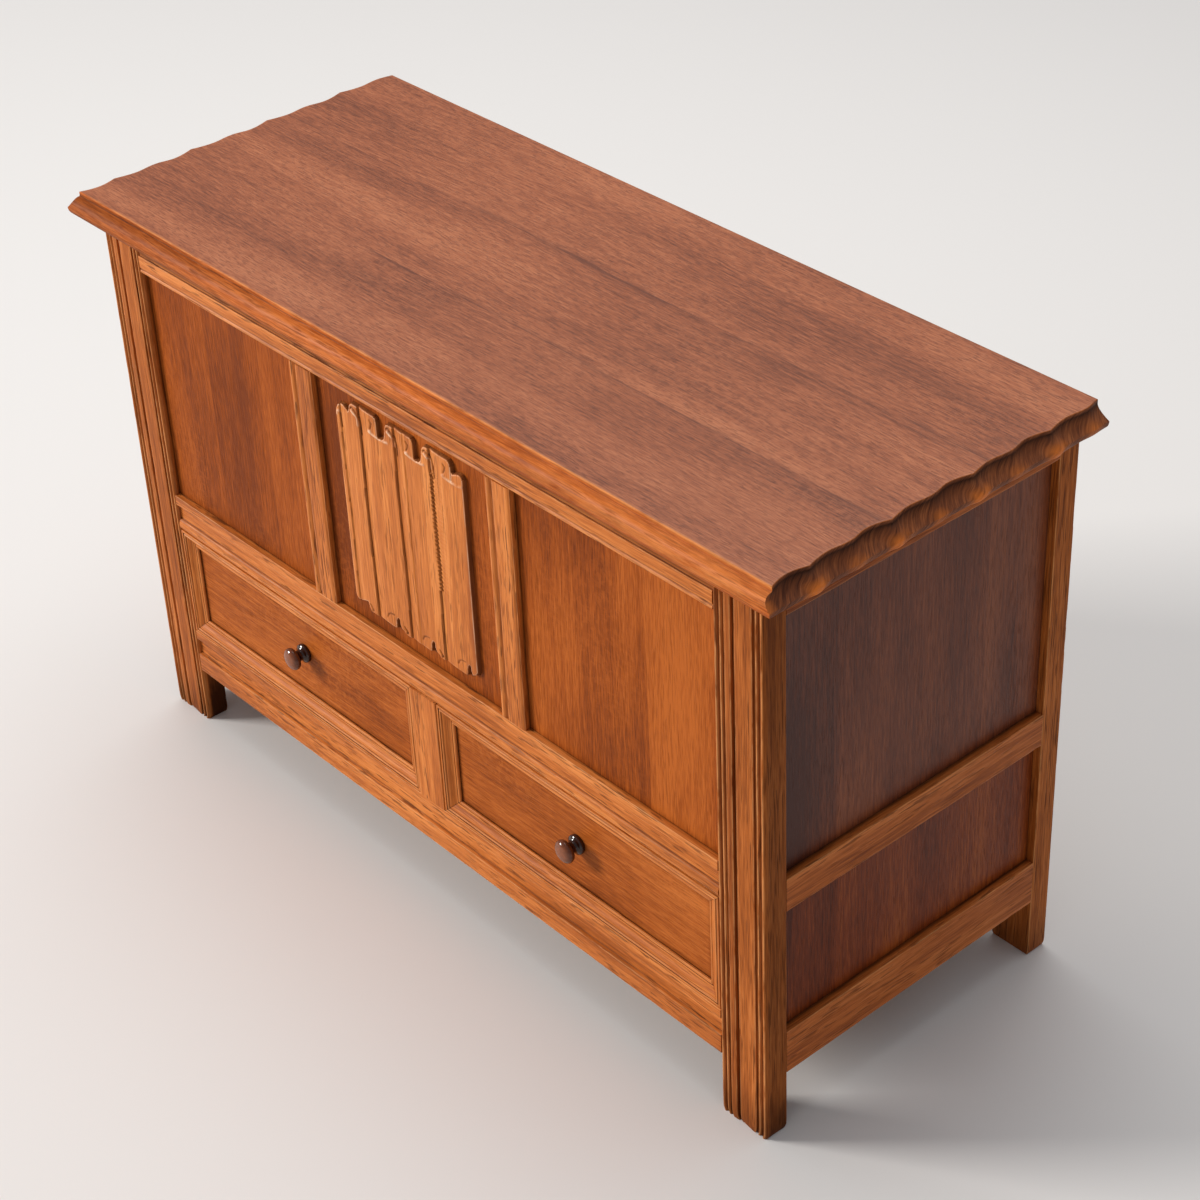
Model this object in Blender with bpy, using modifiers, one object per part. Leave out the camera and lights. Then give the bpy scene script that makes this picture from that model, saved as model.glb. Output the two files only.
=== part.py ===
"""Mule chest: a joined oak chest with a lifting lid and two drawers below the compartment.

Metres, +Z up. The front faces -Y, the length runs along X, and the origin lies on the floor
under the middle of the whole object.
"""

import math

import bmesh
import bpy
from mathutils import Matrix, Vector

# Carcase
LENGTH = 1.000
DEPTH = 0.404
CARCASE_HEIGHT = 0.6385
FIT = 0.0003                    # gap left where two pieces touch
TENON_THICK = 0.009
TENON_LENGTH = 0.030            # front rails into the front legs
TENON_SHOULDER = 0.010          # set in from the edges of the rail
SHORT_TENON = 0.015             # end and back rails into the legs
STUB_TENON = 0.010              # muntins into the rails

# Legs
FRONT_LEG_WIDTH = 0.0620
FRONT_LEG_THICK = 0.0275
BACK_LEG_WIDTH = 0.050
BACK_LEG_THICK = 0.026
REED_SINK = 0.0022
LEG_EDGE_BEAD = 0.0052
LEG_BEAD = 0.0040
LEG_FINE_GROOVE = 0.0018
LEG_GROOVE = 0.0030
LEG_NARROW_FLAT = 0.0075
LEG_DEEP_GROOVE = 0.0048
LEG_DEEP_SINK = 0.0035

# Front frame
RAIL_THICK = 0.0235
RAIL_SETBACK = 0.0005
TOP_RAIL_HEIGHT = 0.0448
TOP_RAIL_BEAD = 0.0035
TOP_RAIL_GROOVE = 0.0014
TOP_RAIL_BAND = 0.0150
TOP_RAIL_SINK = 0.0020
TOP_RAIL_BEAD_SINK = 0.0012
MID_RAIL_BOTTOM = 0.2700
MID_RAIL_HEIGHT = 0.0445
MID_RAIL_BEAD = 0.0120
MID_RAIL_BAND = 0.0115
BOTTOM_RAIL_BOTTOM = 0.0735
BOTTOM_RAIL_HEIGHT = 0.0565
BOTTOM_RAIL_FOOT = 0.0230
BOTTOM_RAIL_BAND = 0.0110
RAIL_SINK = 0.0043
RAIL_OGEE = 0.0015
MUNTIN_WIDTH = 0.0368
MUNTIN_CENTRE = 0.1530
MUNTIN_THICK = 0.0200
MUNTIN_ROUND = 0.0040
MUNTIN_ROUND_SINK = 0.0012
BAY_SHIFT = -0.0050             # the middle bay stands a little to the left
MUNTIN_BEAD = 0.0090
MUNTIN_GROOVE = 0.0035
MUNTIN_SINK = 0.0022
MUNTIN_TENON_WIDTH = 0.0140
DRAWER_MUNTIN_WIDTH = 0.0404
DRAWER_MUNTIN_THICK = 0.0220

# Panels
PANEL_THICK = 0.0060
PANEL_TONGUE = 0.0077
FRONT_PANEL_RECESS = 0.0080
END_PANEL_RECESS = 0.0095
BACK_PANEL_INSET = 0.0040

# Ends and back
END_RAIL_THICK = 0.0235
END_TOP_RAIL_HEIGHT = 0.0330
END_MID_RAIL_BOTTOM = 0.2760
END_MID_RAIL_HEIGHT = 0.0375
END_BOTTOM_RAIL_BOTTOM = 0.0735
END_BOTTOM_RAIL_HEIGHT = 0.0520
BACK_RAIL_THICK = 0.0235
BACK_TOP_RAIL_HEIGHT = 0.0485
BACK_MID_RAIL_BOTTOM = 0.2740
BACK_MID_RAIL_HEIGHT = 0.0420
BACK_BOTTOM_RAIL_BOTTOM = 0.0735
BACK_BOTTOM_RAIL_HEIGHT = 0.0550

# Inside
FLOOR_BOTTOM = 0.2900
FLOOR_THICK = 0.0090
FLOOR_HOUSING = 0.0060
RUNNER_THICK = 0.0180
RUNNER_LEDGE = 0.0200
RUNNER_GUIDE_HEIGHT = 0.0140
RUNNER_TENON = 0.0060
RUNNER_TENON_WIDTH = 0.0120
RUNNER_TENON_HEIGHT = 0.0080

# Linenfold carving on the centre panel
CARVING_BELOW = 0.0190           # bare panel left below the carving
CARVING_ABOVE = 0.0132           # and above it
CARVING_THICK = 0.0050
CARVING_LOW = 0.0030            # thickness where a fold turns under
FOLD_TAB = 0.0425
FOLD_NOTCH = 0.0145
FOLD_NOTCH_DEPTH = 0.0255
FOLD_LEFT_HUMP = 0.0230
FOLD_RIGHT_HUMP = 0.0190
FOLD_HUMP_DROP = 0.0105
FOLD_CORNER = 0.0050
FOLD_SMALL_CORNER = 0.0030
FOOT_STEP_WIDTH = 0.0250
FOOT_STEP_HEIGHT = 0.0085
FOOT_NOTCH_START = 0.0550
FOOT_NOTCH_WIDTH = 0.0150
FOOT_NOTCH_HEIGHT = 0.0120
FOLD_WIDTHS = (0.0070, 0.0270, 0.0570, 0.0140, 0.0405)     # the last fold takes the rest

# Drawers
DRAWER_GAP = 0.0010
DRAWER_LENGTH = 0.3500
DRAWER_FRONT_THICK = 0.0120
DRAWER_FIELD_RECESS = 0.0106
DRAWER_SIDE_THICK = 0.0090
DRAWER_SIDE_HEIGHT = 0.1280
DRAWER_BACK_HEIGHT = 0.1080
DRAWER_BACK_INSET = 0.0060
DRAWER_HOUSING = 0.0030
DRAWER_BOTTOM_THICK = 0.0040
DRAWER_BOTTOM_RISE = 0.0080
TAIL_COUNT = 3
TAIL_LENGTH = 0.0080
TAIL_ROOT = 0.0200
TAIL_SPREAD = 0.0015
MOULDING_SETBACK = 0.0010
MOULDING_EDGE = 0.0025
MOULDING_OUTER_GROOVE = 0.0010
MOULDING_OUTER_BEAD = 0.0025
MOULDING_OGEE = 0.0090
MOULDING_INNER_BEAD = 0.0040
MOULDING_BEAD_SINK = 0.0010
MOULDING_OGEE_TOP = 0.0015
MOULDING_OGEE_FALL = 0.0045
KNOB_HEAD_RADIUS = 0.0130
KNOB_NECK_RADIUS = 0.0062
KNOB_FLANGE_RADIUS = 0.0110
KNOB_PROJECTION = 0.0240
KNOB_FLANGE = 0.0040
KNOB_HEAD = 0.0125
KNOB_BRIM = 0.4                 # height of the widest part, as a share of the head
KNOB_SPIGOT_RADIUS = 0.0050
KNOB_SPIGOT = 0.0100
KNOB_INWARD = 0.0031            # towards the middle of the chest from the middle of the drawer
KNOB_RISE = 0.0030              # above the middle of the drawer front

# Lid
LID_THICK = 0.0250
LID_FRONT_OVERHANG = 0.0103     # top edge past the front legs
LID_END_OVERHANG = 0.0215       # tips of the scallops past the legs
LID_BACK_OVERHANG = 0.0017
LID_FILLET = 0.0046
LID_LEDGE = 0.0022
LID_LEDGE_FALL = 0.0005
LID_NOSE = 0.0117               # fullest part of the moulding past the top edge
LID_NOSE_DROP = 0.0172
LID_UNDERCUT = 0.0045
LID_HOLLOW = 1.8                # how strongly the end is hollowed between its ridges
FULL_TIPS = (-0.0305, 0.0705, 0.1715, 0.2730, 0.3720)  # from the back edge; the first is cut off
SOFT_TIP_SETBACK = 0.0022       # the soft tips stand midway between the full ones
DEEP_BITE = 0.0048              # from a full tip towards the front
SHALLOW_BITE = 0.0034
RIDGE_WIDTH = 0.0100
SOFT_RIDGE = 0.35               # height of the ridge below a soft tip beside a full one
RIDGE_RELIEF = 0.0028           # the nose stands back this much between the ridges
SCALLOP_STEPS = 8

# Hinges
HINGE_FROM_END = 0.1800          # end of the carcase to the middle of the hinge
HINGE_LENGTH = 0.0640
HINGE_LEAF_DEPTH = 0.0200
HINGE_LEAF_THICK = 0.0020
KNUCKLE_RADIUS = 0.0035
KNUCKLE_MIDDLE = 0.0314
KNUCKLE_OUTER = 0.0160
PIN_RADIUS = 0.0015
PIN_CLEARANCE = 0.0003
HINGE_RELIEF = 0.0005           # the flats stop short of the knuckles
ROUND_SEGMENTS = 24

# Places worked out from the sizes above
HALF = LENGTH / 2
FRONT_REACH = LID_FRONT_OVERHANG + LID_NOSE
BACK_REACH = LID_BACK_OVERHANG + FIT + 2 * KNUCKLE_RADIUS
Y_FRONT = (FRONT_REACH - BACK_REACH - DEPTH) / 2
Y_BACK = Y_FRONT + DEPTH
LEG_INNER = HALF - FRONT_LEG_WIDTH
BACK_LEG_INNER = HALF - BACK_LEG_WIDTH
FRONT_LEG_BACK = Y_FRONT + FRONT_LEG_THICK
BACK_LEG_FRONT = Y_BACK - BACK_LEG_THICK
RAIL_FACE = Y_FRONT + RAIL_SETBACK
RAIL_BACK = RAIL_FACE + RAIL_THICK
END_INNER = HALF - END_RAIL_THICK
TOP_RAIL_BOTTOM = CARCASE_HEIGHT - TOP_RAIL_HEIGHT
END_TOP_RAIL_BOTTOM = CARCASE_HEIGHT - END_TOP_RAIL_HEIGHT
BACK_TOP_RAIL_BOTTOM = CARCASE_HEIGHT - BACK_TOP_RAIL_HEIGHT
MID_RAIL_TOP = MID_RAIL_BOTTOM + MID_RAIL_HEIGHT
BOTTOM_RAIL_TOP = BOTTOM_RAIL_BOTTOM + BOTTOM_RAIL_HEIGHT
END_MID_RAIL_TOP = END_MID_RAIL_BOTTOM + END_MID_RAIL_HEIGHT
END_BOTTOM_RAIL_TOP = END_BOTTOM_RAIL_BOTTOM + END_BOTTOM_RAIL_HEIGHT
BACK_MID_RAIL_TOP = BACK_MID_RAIL_BOTTOM + BACK_MID_RAIL_HEIGHT
BACK_BOTTOM_RAIL_TOP = BACK_BOTTOM_RAIL_BOTTOM + BACK_BOTTOM_RAIL_HEIGHT
CARVING_Z = (MID_RAIL_TOP + CARVING_BELOW, TOP_RAIL_BOTTOM - CARVING_ABOVE)
FRONT_PANEL_Y = (Y_FRONT + FRONT_PANEL_RECESS, Y_FRONT + FRONT_PANEL_RECESS + PANEL_THICK)
BACK_PANEL_Y = (Y_BACK - BACK_PANEL_INSET - PANEL_THICK, Y_BACK - BACK_PANEL_INSET)
BACK_MID_RAIL_Y = (BACK_LEG_FRONT, BACK_PANEL_Y[0] - FIT)
LID_BOTTOM = CARCASE_HEIGHT + FIT
LID_BACK = Y_BACK + LID_BACK_OVERHANG
LID_WIDTH = DEPTH + LID_BACK_OVERHANG + LID_FRONT_OVERHANG     # across its flat top
HINGE_CENTRE = HALF - HINGE_FROM_END
HINGE_AXIS = (0, LID_BACK + FIT + KNUCKLE_RADIUS, CARCASE_HEIGHT + FIT / 2)
SIDES = {"left": -1, "right": 1}

# How an outline drawn in X and Y is turned so that its own Z runs along the named axis
TURNS = {
    "x": Matrix(((0, 0, 1), (1, 0, 0), (0, 1, 0))),     # the outline is then in Y and Z
    "y": Matrix(((1, 0, 0), (0, 0, -1), (0, 1, 0))),    # the outline is then in X and Z
    "z": Matrix.Identity(3),
}
WELD = 1e-6
CURVE_STEPS = 6
ARC_STEPS = 4
SHARP_ANGLE = math.radians(35)


def clear_scene():
    for obj in list(bpy.data.objects):
        bpy.data.objects.remove(obj)


def new_collection(name):
    made = bpy.data.collections.new(name)
    bpy.context.scene.collection.children.link(made)
    return made


def material(name, colour, roughness, metallic=0.0):
    made = bpy.data.materials.new(name)
    made.use_nodes = True
    shader = made.node_tree.nodes["Principled BSDF"]
    shader.inputs["Base Color"].default_value = (*colour, 1)
    shader.inputs["Roughness"].default_value = roughness
    shader.inputs["Metallic"].default_value = metallic
    return made


def spread(centre, width):
    return (centre - width / 2, centre + width / 2)


def grow(limits, by=FIT):
    return (limits[0] - by, limits[1] + by)


def mirrored(side, near, far):
    """The limits from near to far along X, on the given side of the middle."""
    return tuple(sorted((side * near, side * far)))


def place(name, mesh, look):
    obj = bpy.data.objects.new(name, mesh)
    PARTS.objects.link(obj)
    mesh.materials.append(look)
    return obj


def mesh_of(name, bm):
    bmesh.ops.recalc_face_normals(bm, faces=bm.faces)
    mesh = bpy.data.meshes.new(name)
    bm.to_mesh(mesh)
    bm.free()
    return mesh


def rounded(mesh):
    """Smooth shading that keeps the real edges crisp."""
    mesh.shade_smooth()
    mesh.set_sharp_from_angle(angle=SHARP_ANGLE)
    return mesh


def evaluated_mesh(obj):
    """The mesh an object shows with its modifiers; the object itself is taken away."""
    graph = bpy.context.evaluated_depsgraph_get()
    mesh = bpy.data.meshes.new_from_object(obj.evaluated_get(graph))
    bpy.data.objects.remove(obj)
    return mesh


def block(name, x, y, z, look):
    """A squared board between the given limits."""
    limits = (x, y, z)
    bm = bmesh.new()
    bmesh.ops.create_cube(bm, size=1)
    bmesh.ops.scale(bm, vec=[high - low for low, high in limits], verts=bm.verts)
    obj = place(name, mesh_of(name, bm), look)
    obj.location = [(low + high) / 2 for low, high in limits]
    return obj


def is_inside_cap(edge):
    """Whether an edge only divides one flat end of an extruded outline."""
    return len(edge.link_faces) == 2 and all(len(face.verts) == 3 for face in edge.link_faces)


def outline_mesh(name, outline, length):
    """A flat outline extruded to the given length, centred on it, as one welded mesh."""
    curve = bpy.data.curves.new(name, "CURVE")
    curve.dimensions = "2D"
    curve.fill_mode = "BOTH"
    curve.extrude = length / 2
    spline = curve.splines.new("POLY")
    spline.points.add(len(outline) - 1)
    for point, (u, v) in zip(spline.points, outline):
        point.co = (u, v, 0, 1)
    spline.use_cyclic_u = True
    guide = bpy.data.objects.new(name, curve)
    PARTS.objects.link(guide)
    bm = bmesh.new()
    bm.from_mesh(evaluated_mesh(guide))
    bmesh.ops.remove_doubles(bm, verts=bm.verts, dist=WELD)
    inner_edges = [edge for edge in bm.edges if is_inside_cap(edge)]
    bmesh.ops.dissolve_edges(bm, edges=inner_edges)
    mesh = mesh_of(name, bm)
    mesh.shade_flat()
    return mesh


def lay_along(obj, axis, limits, offset=(0, 0, 0)):
    """Turns a shape made along its own Z to lie along an axis between two limits."""
    place_at = Vector(offset)
    place_at["xyz".index(axis)] = sum(limits) / 2
    obj.matrix_basis = Matrix.Translation(place_at) @ TURNS[axis].to_4x4()
    return obj


def extrusion(name, outline, axis, limits, look):
    """A board whose section is the given outline."""
    low, high = limits
    return lay_along(place(name, outline_mesh(name, outline, high - low), look), axis, limits)


def rod(name, radius, axis, limits, centre, look):
    """A round bar along an axis."""
    low, high = limits
    bm = bmesh.new()
    bmesh.ops.create_cone(
        bm, cap_ends=True, segments=ROUND_SEGMENTS, radius1=radius, radius2=radius, depth=high - low
    )
    return lay_along(place(name, rounded(mesh_of(name, bm)), look), axis, limits, centre)


def shape(part, tool, operation):
    """Cuts, joins or intersects a part with a tool that is kept as a hidden wire shape."""
    PARTS.objects.unlink(tool)
    CUTTERS.objects.link(tool)
    tool.hide_render = True
    tool.display_type = "WIRE"
    change = part.modifiers.new(tool.name, "BOOLEAN")
    change.operation = operation
    change.solver = "EXACT"
    change.object = tool


def tool_name(part):
    return f"{part.name}_tool_{len(part.modifiers)}"


def cut(part, x, y, z):
    shape(part, block(tool_name(part), x, y, z, part.active_material), "DIFFERENCE")


def pocket(part, x, y, z):
    """A cut that takes the given tongue, tenon or board with the fit around it."""
    cut(part, grow(x), grow(y), grow(z))


def join(part, x, y, z):
    shape(part, block(tool_name(part), x, y, z, part.active_material), "UNION")


# Curves across a moulded face: pairs of the share of the width and the depth below the face

def flat(depth=0.0):
    return ((0, depth), (1, depth))


def bead(sink):
    shares = [step / CURVE_STEPS for step in range(CURVE_STEPS + 1)]
    return [(share, sink * (1 - math.sin(math.pi * share))) for share in shares]


def ogee(start, end):
    shares = [step / CURVE_STEPS for step in range(CURVE_STEPS + 1)]
    return [(share, start + (end - start) * (1 - math.cos(math.pi * share)) / 2) for share in shares]


def moulded(start, steps):
    """Points across a moulded face, where each step is a width and the curve over it."""
    points = []
    at = start
    for width, curve in steps:
        for share, depth in curve:
            point = Vector((at + share * width, depth))
            if not points or (point - points[-1]).length > WELD:
                points.append(point)
        at += width
    return points


def rest_of(total, steps):
    return total - sum(width for width, _ in steps)


# Boxes shared by the two pieces of each joint

def front_rail_bars():
    """The tenon of each front rail, taken as one bar through the whole rail."""
    x = (-LEG_INNER - TENON_LENGTH, LEG_INNER + TENON_LENGTH)
    y = spread(RAIL_FACE + RAIL_THICK / 2, TENON_THICK)
    heights = {
        "top": (TOP_RAIL_BOTTOM, CARCASE_HEIGHT),
        "mid": (MID_RAIL_BOTTOM, MID_RAIL_TOP),
        "bottom": (BOTTOM_RAIL_BOTTOM, BOTTOM_RAIL_TOP),
    }
    return {name: (x, y, grow(z, -TENON_SHOULDER)) for name, z in heights.items()}


def end_rail_heights():
    return {
        "top": (END_TOP_RAIL_BOTTOM, CARCASE_HEIGHT),
        "mid": (END_MID_RAIL_BOTTOM, END_MID_RAIL_TOP),
        "bottom": (END_BOTTOM_RAIL_BOTTOM, END_BOTTOM_RAIL_TOP),
    }


def end_rail_bars(side):
    middle = HALF - END_RAIL_THICK / 2
    x = spread(side * middle, TENON_THICK)
    y = (FRONT_LEG_BACK - SHORT_TENON, BACK_LEG_FRONT + SHORT_TENON)
    return {name: (x, y, grow(z, -TENON_SHOULDER)) for name, z in end_rail_heights().items()}


def back_rail_limits():
    outer = (Y_BACK - BACK_RAIL_THICK, Y_BACK)
    return {
        "top": (outer, (BACK_TOP_RAIL_BOTTOM, CARCASE_HEIGHT)),
        "mid": (BACK_MID_RAIL_Y, (BACK_MID_RAIL_BOTTOM, BACK_MID_RAIL_TOP)),
        "bottom": (outer, (BACK_BOTTOM_RAIL_BOTTOM, BACK_BOTTOM_RAIL_TOP)),
    }


def back_rail_bars():
    x = (-BACK_LEG_INNER - SHORT_TENON, BACK_LEG_INNER + SHORT_TENON)
    return {
        name: (x, spread(sum(y) / 2, TENON_THICK), grow(z, -TENON_SHOULDER))
        for name, (y, z) in back_rail_limits().items()
    }


def muntin_centre(side):
    return BAY_SHIFT + side * MUNTIN_CENTRE


def front_panel_boxes():
    left_muntin = spread(muntin_centre(-1), MUNTIN_WIDTH)
    right_muntin = spread(muntin_centre(1), MUNTIN_WIDTH)
    openings = {
        "left": (-LEG_INNER, left_muntin[0]),
        "centre": (left_muntin[1], right_muntin[0]),
        "right": (right_muntin[1], LEG_INNER),
    }
    z = grow((MID_RAIL_TOP, TOP_RAIL_BOTTOM), PANEL_TONGUE)
    return {name: (grow(x, PANEL_TONGUE), FRONT_PANEL_Y, z) for name, x in openings.items()}


def end_panel_boxes(side):
    near = HALF - END_PANEL_RECESS - PANEL_THICK
    x = mirrored(side, near, near + PANEL_THICK)
    y = grow((FRONT_LEG_BACK, BACK_LEG_FRONT), PANEL_TONGUE)
    openings = {
        "upper": (END_MID_RAIL_TOP, END_TOP_RAIL_BOTTOM),
        "lower": (END_BOTTOM_RAIL_TOP, END_MID_RAIL_BOTTOM),
    }
    return {name: (x, y, grow(z, PANEL_TONGUE)) for name, z in openings.items()}


def back_panel_box():
    x = grow((-BACK_LEG_INNER, BACK_LEG_INNER), PANEL_TONGUE)
    return (x, BACK_PANEL_Y, grow((BACK_BOTTOM_RAIL_TOP, BACK_TOP_RAIL_BOTTOM), PANEL_TONGUE))


def muntin_bar(centre):
    x = spread(centre, MUNTIN_TENON_WIDTH)
    y = spread(RAIL_FACE + RAIL_THICK / 2, TENON_THICK)
    return (x, y, grow((MID_RAIL_TOP, TOP_RAIL_BOTTOM), STUB_TENON))


def drawer_muntin_bar():
    x = spread(0, MUNTIN_TENON_WIDTH)
    y = spread(RAIL_FACE + RAIL_THICK / 2, TENON_THICK)
    return (x, y, grow((BOTTOM_RAIL_TOP, MID_RAIL_BOTTOM), STUB_TENON))


def floor_box():
    reach = END_INNER + FLOOR_HOUSING
    y = (RAIL_BACK - FLOOR_HOUSING, BACK_MID_RAIL_Y[0] + FLOOR_HOUSING)
    return ((-reach, reach), y, (FLOOR_BOTTOM, FLOOR_BOTTOM + FLOOR_THICK))


def runner_bar(centre):
    x = spread(centre, RUNNER_TENON_WIDTH)
    y = grow((RAIL_BACK, Y_BACK - BACK_RAIL_THICK), RUNNER_TENON)
    return (x, y, spread(BOTTOM_RAIL_TOP - RUNNER_THICK / 2, RUNNER_TENON_HEIGHT))


def runner_bars():
    middle = LEG_INNER - RUNNER_LEDGE / 2
    return {"left": runner_bar(-middle), "centre": runner_bar(0), "right": runner_bar(middle)}


def hinge_plate(centre, top):
    """The flat of a hinge leaf, whose upper or lower face lies in the joint under the lid."""
    y_axis = HINGE_AXIS[1]
    y = (y_axis - HINGE_LEAF_DEPTH, y_axis - KNUCKLE_RADIUS - HINGE_RELIEF)
    return (spread(centre, HINGE_LENGTH), y, (top - HINGE_LEAF_THICK, top))


# Frame

def front_leg(name, side):
    left = LEG_INNER if side > 0 else -HALF
    reeds = [
        (LEG_EDGE_BEAD, bead(REED_SINK)),
        (LEG_FINE_GROOVE, flat(REED_SINK)),
        (LEG_BEAD, bead(REED_SINK)),
        (LEG_GROOVE, flat(REED_SINK)),
    ]
    left_group = reeds + [(LEG_NARROW_FLAT, flat()), (LEG_DEEP_GROOVE, flat(LEG_DEEP_SINK))]
    right_group = reeds[::-1]
    wide_flat = rest_of(FRONT_LEG_WIDTH, left_group + right_group)
    face = moulded(left, left_group + [(wide_flat, flat())] + right_group)
    outline = [(x, Y_FRONT + depth) for x, depth in face]
    outline += [(left + FRONT_LEG_WIDTH, FRONT_LEG_BACK), (left, FRONT_LEG_BACK)]
    leg = extrusion(f"front_leg_{name}", outline, "z", (0, CARCASE_HEIGHT), FRAME_OAK)
    for box in [*front_rail_bars().values(), *end_rail_bars(side).values()]:
        pocket(leg, *box)
    for box in [front_panel_boxes()[name], *end_panel_boxes(side).values()]:
        pocket(leg, *box)


def back_leg(name, side):
    x = mirrored(side, BACK_LEG_INNER, HALF)
    leg = block(f"back_leg_{name}", x, (BACK_LEG_FRONT, Y_BACK), (0, CARCASE_HEIGHT), FRAME_OAK)
    for box in [*back_rail_bars().values(), *end_rail_bars(side).values()]:
        pocket(leg, *box)
    for box in [back_panel_box(), *end_panel_boxes(side).values()]:
        pocket(leg, *box)


def front_rail(name, bottom, steps):
    """A front rail whose face carries the given moulding from its lower edge upwards."""
    face = moulded(bottom, steps)
    top = face[-1][0]
    outline = [(RAIL_FACE + depth, z) for z, depth in face]
    outline += [(RAIL_BACK, top), (RAIL_BACK, bottom)]
    reach = LEG_INNER - FIT
    rail = extrusion(f"front_{name}_rail", outline, "x", (-reach, reach), FRAME_OAK)
    join(rail, *front_rail_bars()[name])
    return rail


def take_front_panels(rail):
    for box in front_panel_boxes().values():
        pocket(rail, *box)
    for side in SIDES.values():
        pocket(rail, *muntin_bar(muntin_centre(side)))


def front_top_rail():
    steps = [
        (TOP_RAIL_BEAD, bead(TOP_RAIL_BEAD_SINK)),
        (TOP_RAIL_GROOVE, flat(TOP_RAIL_BEAD_SINK)),
        (TOP_RAIL_BAND, flat()),
    ]
    steps.append((rest_of(TOP_RAIL_HEIGHT, steps), flat(TOP_RAIL_SINK)))
    take_front_panels(front_rail("top", TOP_RAIL_BOTTOM, steps))


def front_mid_rail():
    below = [(MID_RAIL_BEAD, bead(TOP_RAIL_SINK)), (RAIL_OGEE, ogee(TOP_RAIL_SINK, RAIL_SINK))]
    above = [(RAIL_OGEE, ogee(RAIL_SINK, 0)), (MID_RAIL_BAND, flat())]
    sunk = rest_of(MID_RAIL_HEIGHT, below + above)
    rail = front_rail("mid", MID_RAIL_BOTTOM, below + [(sunk, flat(RAIL_SINK))] + above)
    take_front_panels(rail)
    pocket(rail, *drawer_muntin_bar())
    pocket(rail, *floor_box())


def front_bottom_rail():
    below = [(BOTTOM_RAIL_FOOT, flat()), (RAIL_OGEE, ogee(0, RAIL_SINK))]
    above = [(RAIL_OGEE, ogee(RAIL_SINK, 0)), (BOTTOM_RAIL_BAND, flat())]
    sunk = rest_of(BOTTOM_RAIL_HEIGHT, below + above)
    rail = front_rail("bottom", BOTTOM_RAIL_BOTTOM, below + [(sunk, flat(RAIL_SINK))] + above)
    pocket(rail, *drawer_muntin_bar())
    for box in runner_bars().values():
        pocket(rail, *box)


def front_muntin(name, side):
    centre = muntin_centre(side)
    start = [(MUNTIN_BEAD, bead(MUNTIN_SINK)), (MUNTIN_GROOVE, flat(MUNTIN_SINK))]
    end = [(MUNTIN_ROUND, ogee(0, MUNTIN_ROUND_SINK))]
    wide_flat = rest_of(MUNTIN_WIDTH, start + end)
    left, right = spread(centre, MUNTIN_WIDTH)
    face = moulded(left, start + [(wide_flat, flat())] + end)
    outline = [(x, RAIL_FACE + depth) for x, depth in face]
    outline += [(right, RAIL_FACE + MUNTIN_THICK), (left, RAIL_FACE + MUNTIN_THICK)]
    z = grow((MID_RAIL_TOP, TOP_RAIL_BOTTOM), -FIT)
    muntin = extrusion(f"front_muntin_{name}", outline, "z", z, FRAME_OAK)
    join(muntin, *muntin_bar(centre))
    pocket(muntin, *front_panel_boxes()[name])
    pocket(muntin, *front_panel_boxes()["centre"])


def drawer_muntin():
    y = (Y_FRONT, Y_FRONT + DRAWER_MUNTIN_THICK)
    z = grow((BOTTOM_RAIL_TOP, MID_RAIL_BOTTOM), -FIT)
    muntin = block("drawer_muntin", spread(0, DRAWER_MUNTIN_WIDTH), y, z, FRAME_OAK)
    join(muntin, *drawer_muntin_bar())


def front_panels():
    for name, box in front_panel_boxes().items():
        block(f"front_panel_{name}", *box, PANEL_OAK)


def chest_end(name, side):
    x = mirrored(side, END_INNER, HALF)
    y = (FRONT_LEG_BACK + FIT, BACK_LEG_FRONT - FIT)
    panels = end_panel_boxes(side)
    held = {"top": ("upper",), "mid": ("upper", "lower"), "bottom": ("lower",)}
    for level, z in end_rail_heights().items():
        rail = block(f"end_{level}_rail_{name}", x, y, z, FRAME_OAK)
        join(rail, *end_rail_bars(side)[level])
        for panel in held[level]:
            pocket(rail, *panels[panel])
        if level == "mid":
            pocket(rail, *floor_box())
    for level, box in panels.items():
        block(f"end_{level}_panel_{name}", *box, PANEL_OAK)


def chest_back():
    x = grow((-BACK_LEG_INNER, BACK_LEG_INNER), -FIT)
    for level, (y, z) in back_rail_limits().items():
        rail = block(f"back_{level}_rail", x, y, z, INNER_OAK)
        join(rail, *back_rail_bars()[level])
        if level == "mid":
            pocket(rail, *floor_box())
        else:
            pocket(rail, *back_panel_box())
        if level == "bottom":
            for box in runner_bars().values():
                pocket(rail, *box)
        if level == "top":
            for side in SIDES.values():
                plate_x, plate_y, plate_z = hinge_plate(side * HINGE_CENTRE, CARCASE_HEIGHT)
                pocket(rail, plate_x, (plate_y[0], plate_y[1] + HINGE_LEAF_DEPTH), plate_z)
    block("back_panel", *back_panel_box(), INNER_OAK)


# Inside

def chest_floor():
    (_, reach), (front, back), z = floor_box()
    half = [
        (LEG_INNER - FIT, front),
        (LEG_INNER - FIT, FRONT_LEG_BACK + FIT),
        (reach, FRONT_LEG_BACK + FIT),
        (reach, BACK_LEG_FRONT - FIT),
        (BACK_LEG_INNER - FIT, BACK_LEG_FRONT - FIT),
        (BACK_LEG_INNER - FIT, back),
    ]
    outline = half + [(-x, y) for x, y in reversed(half)]
    extrusion("chest_floor", outline, "z", z, INNER_OAK)


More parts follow.
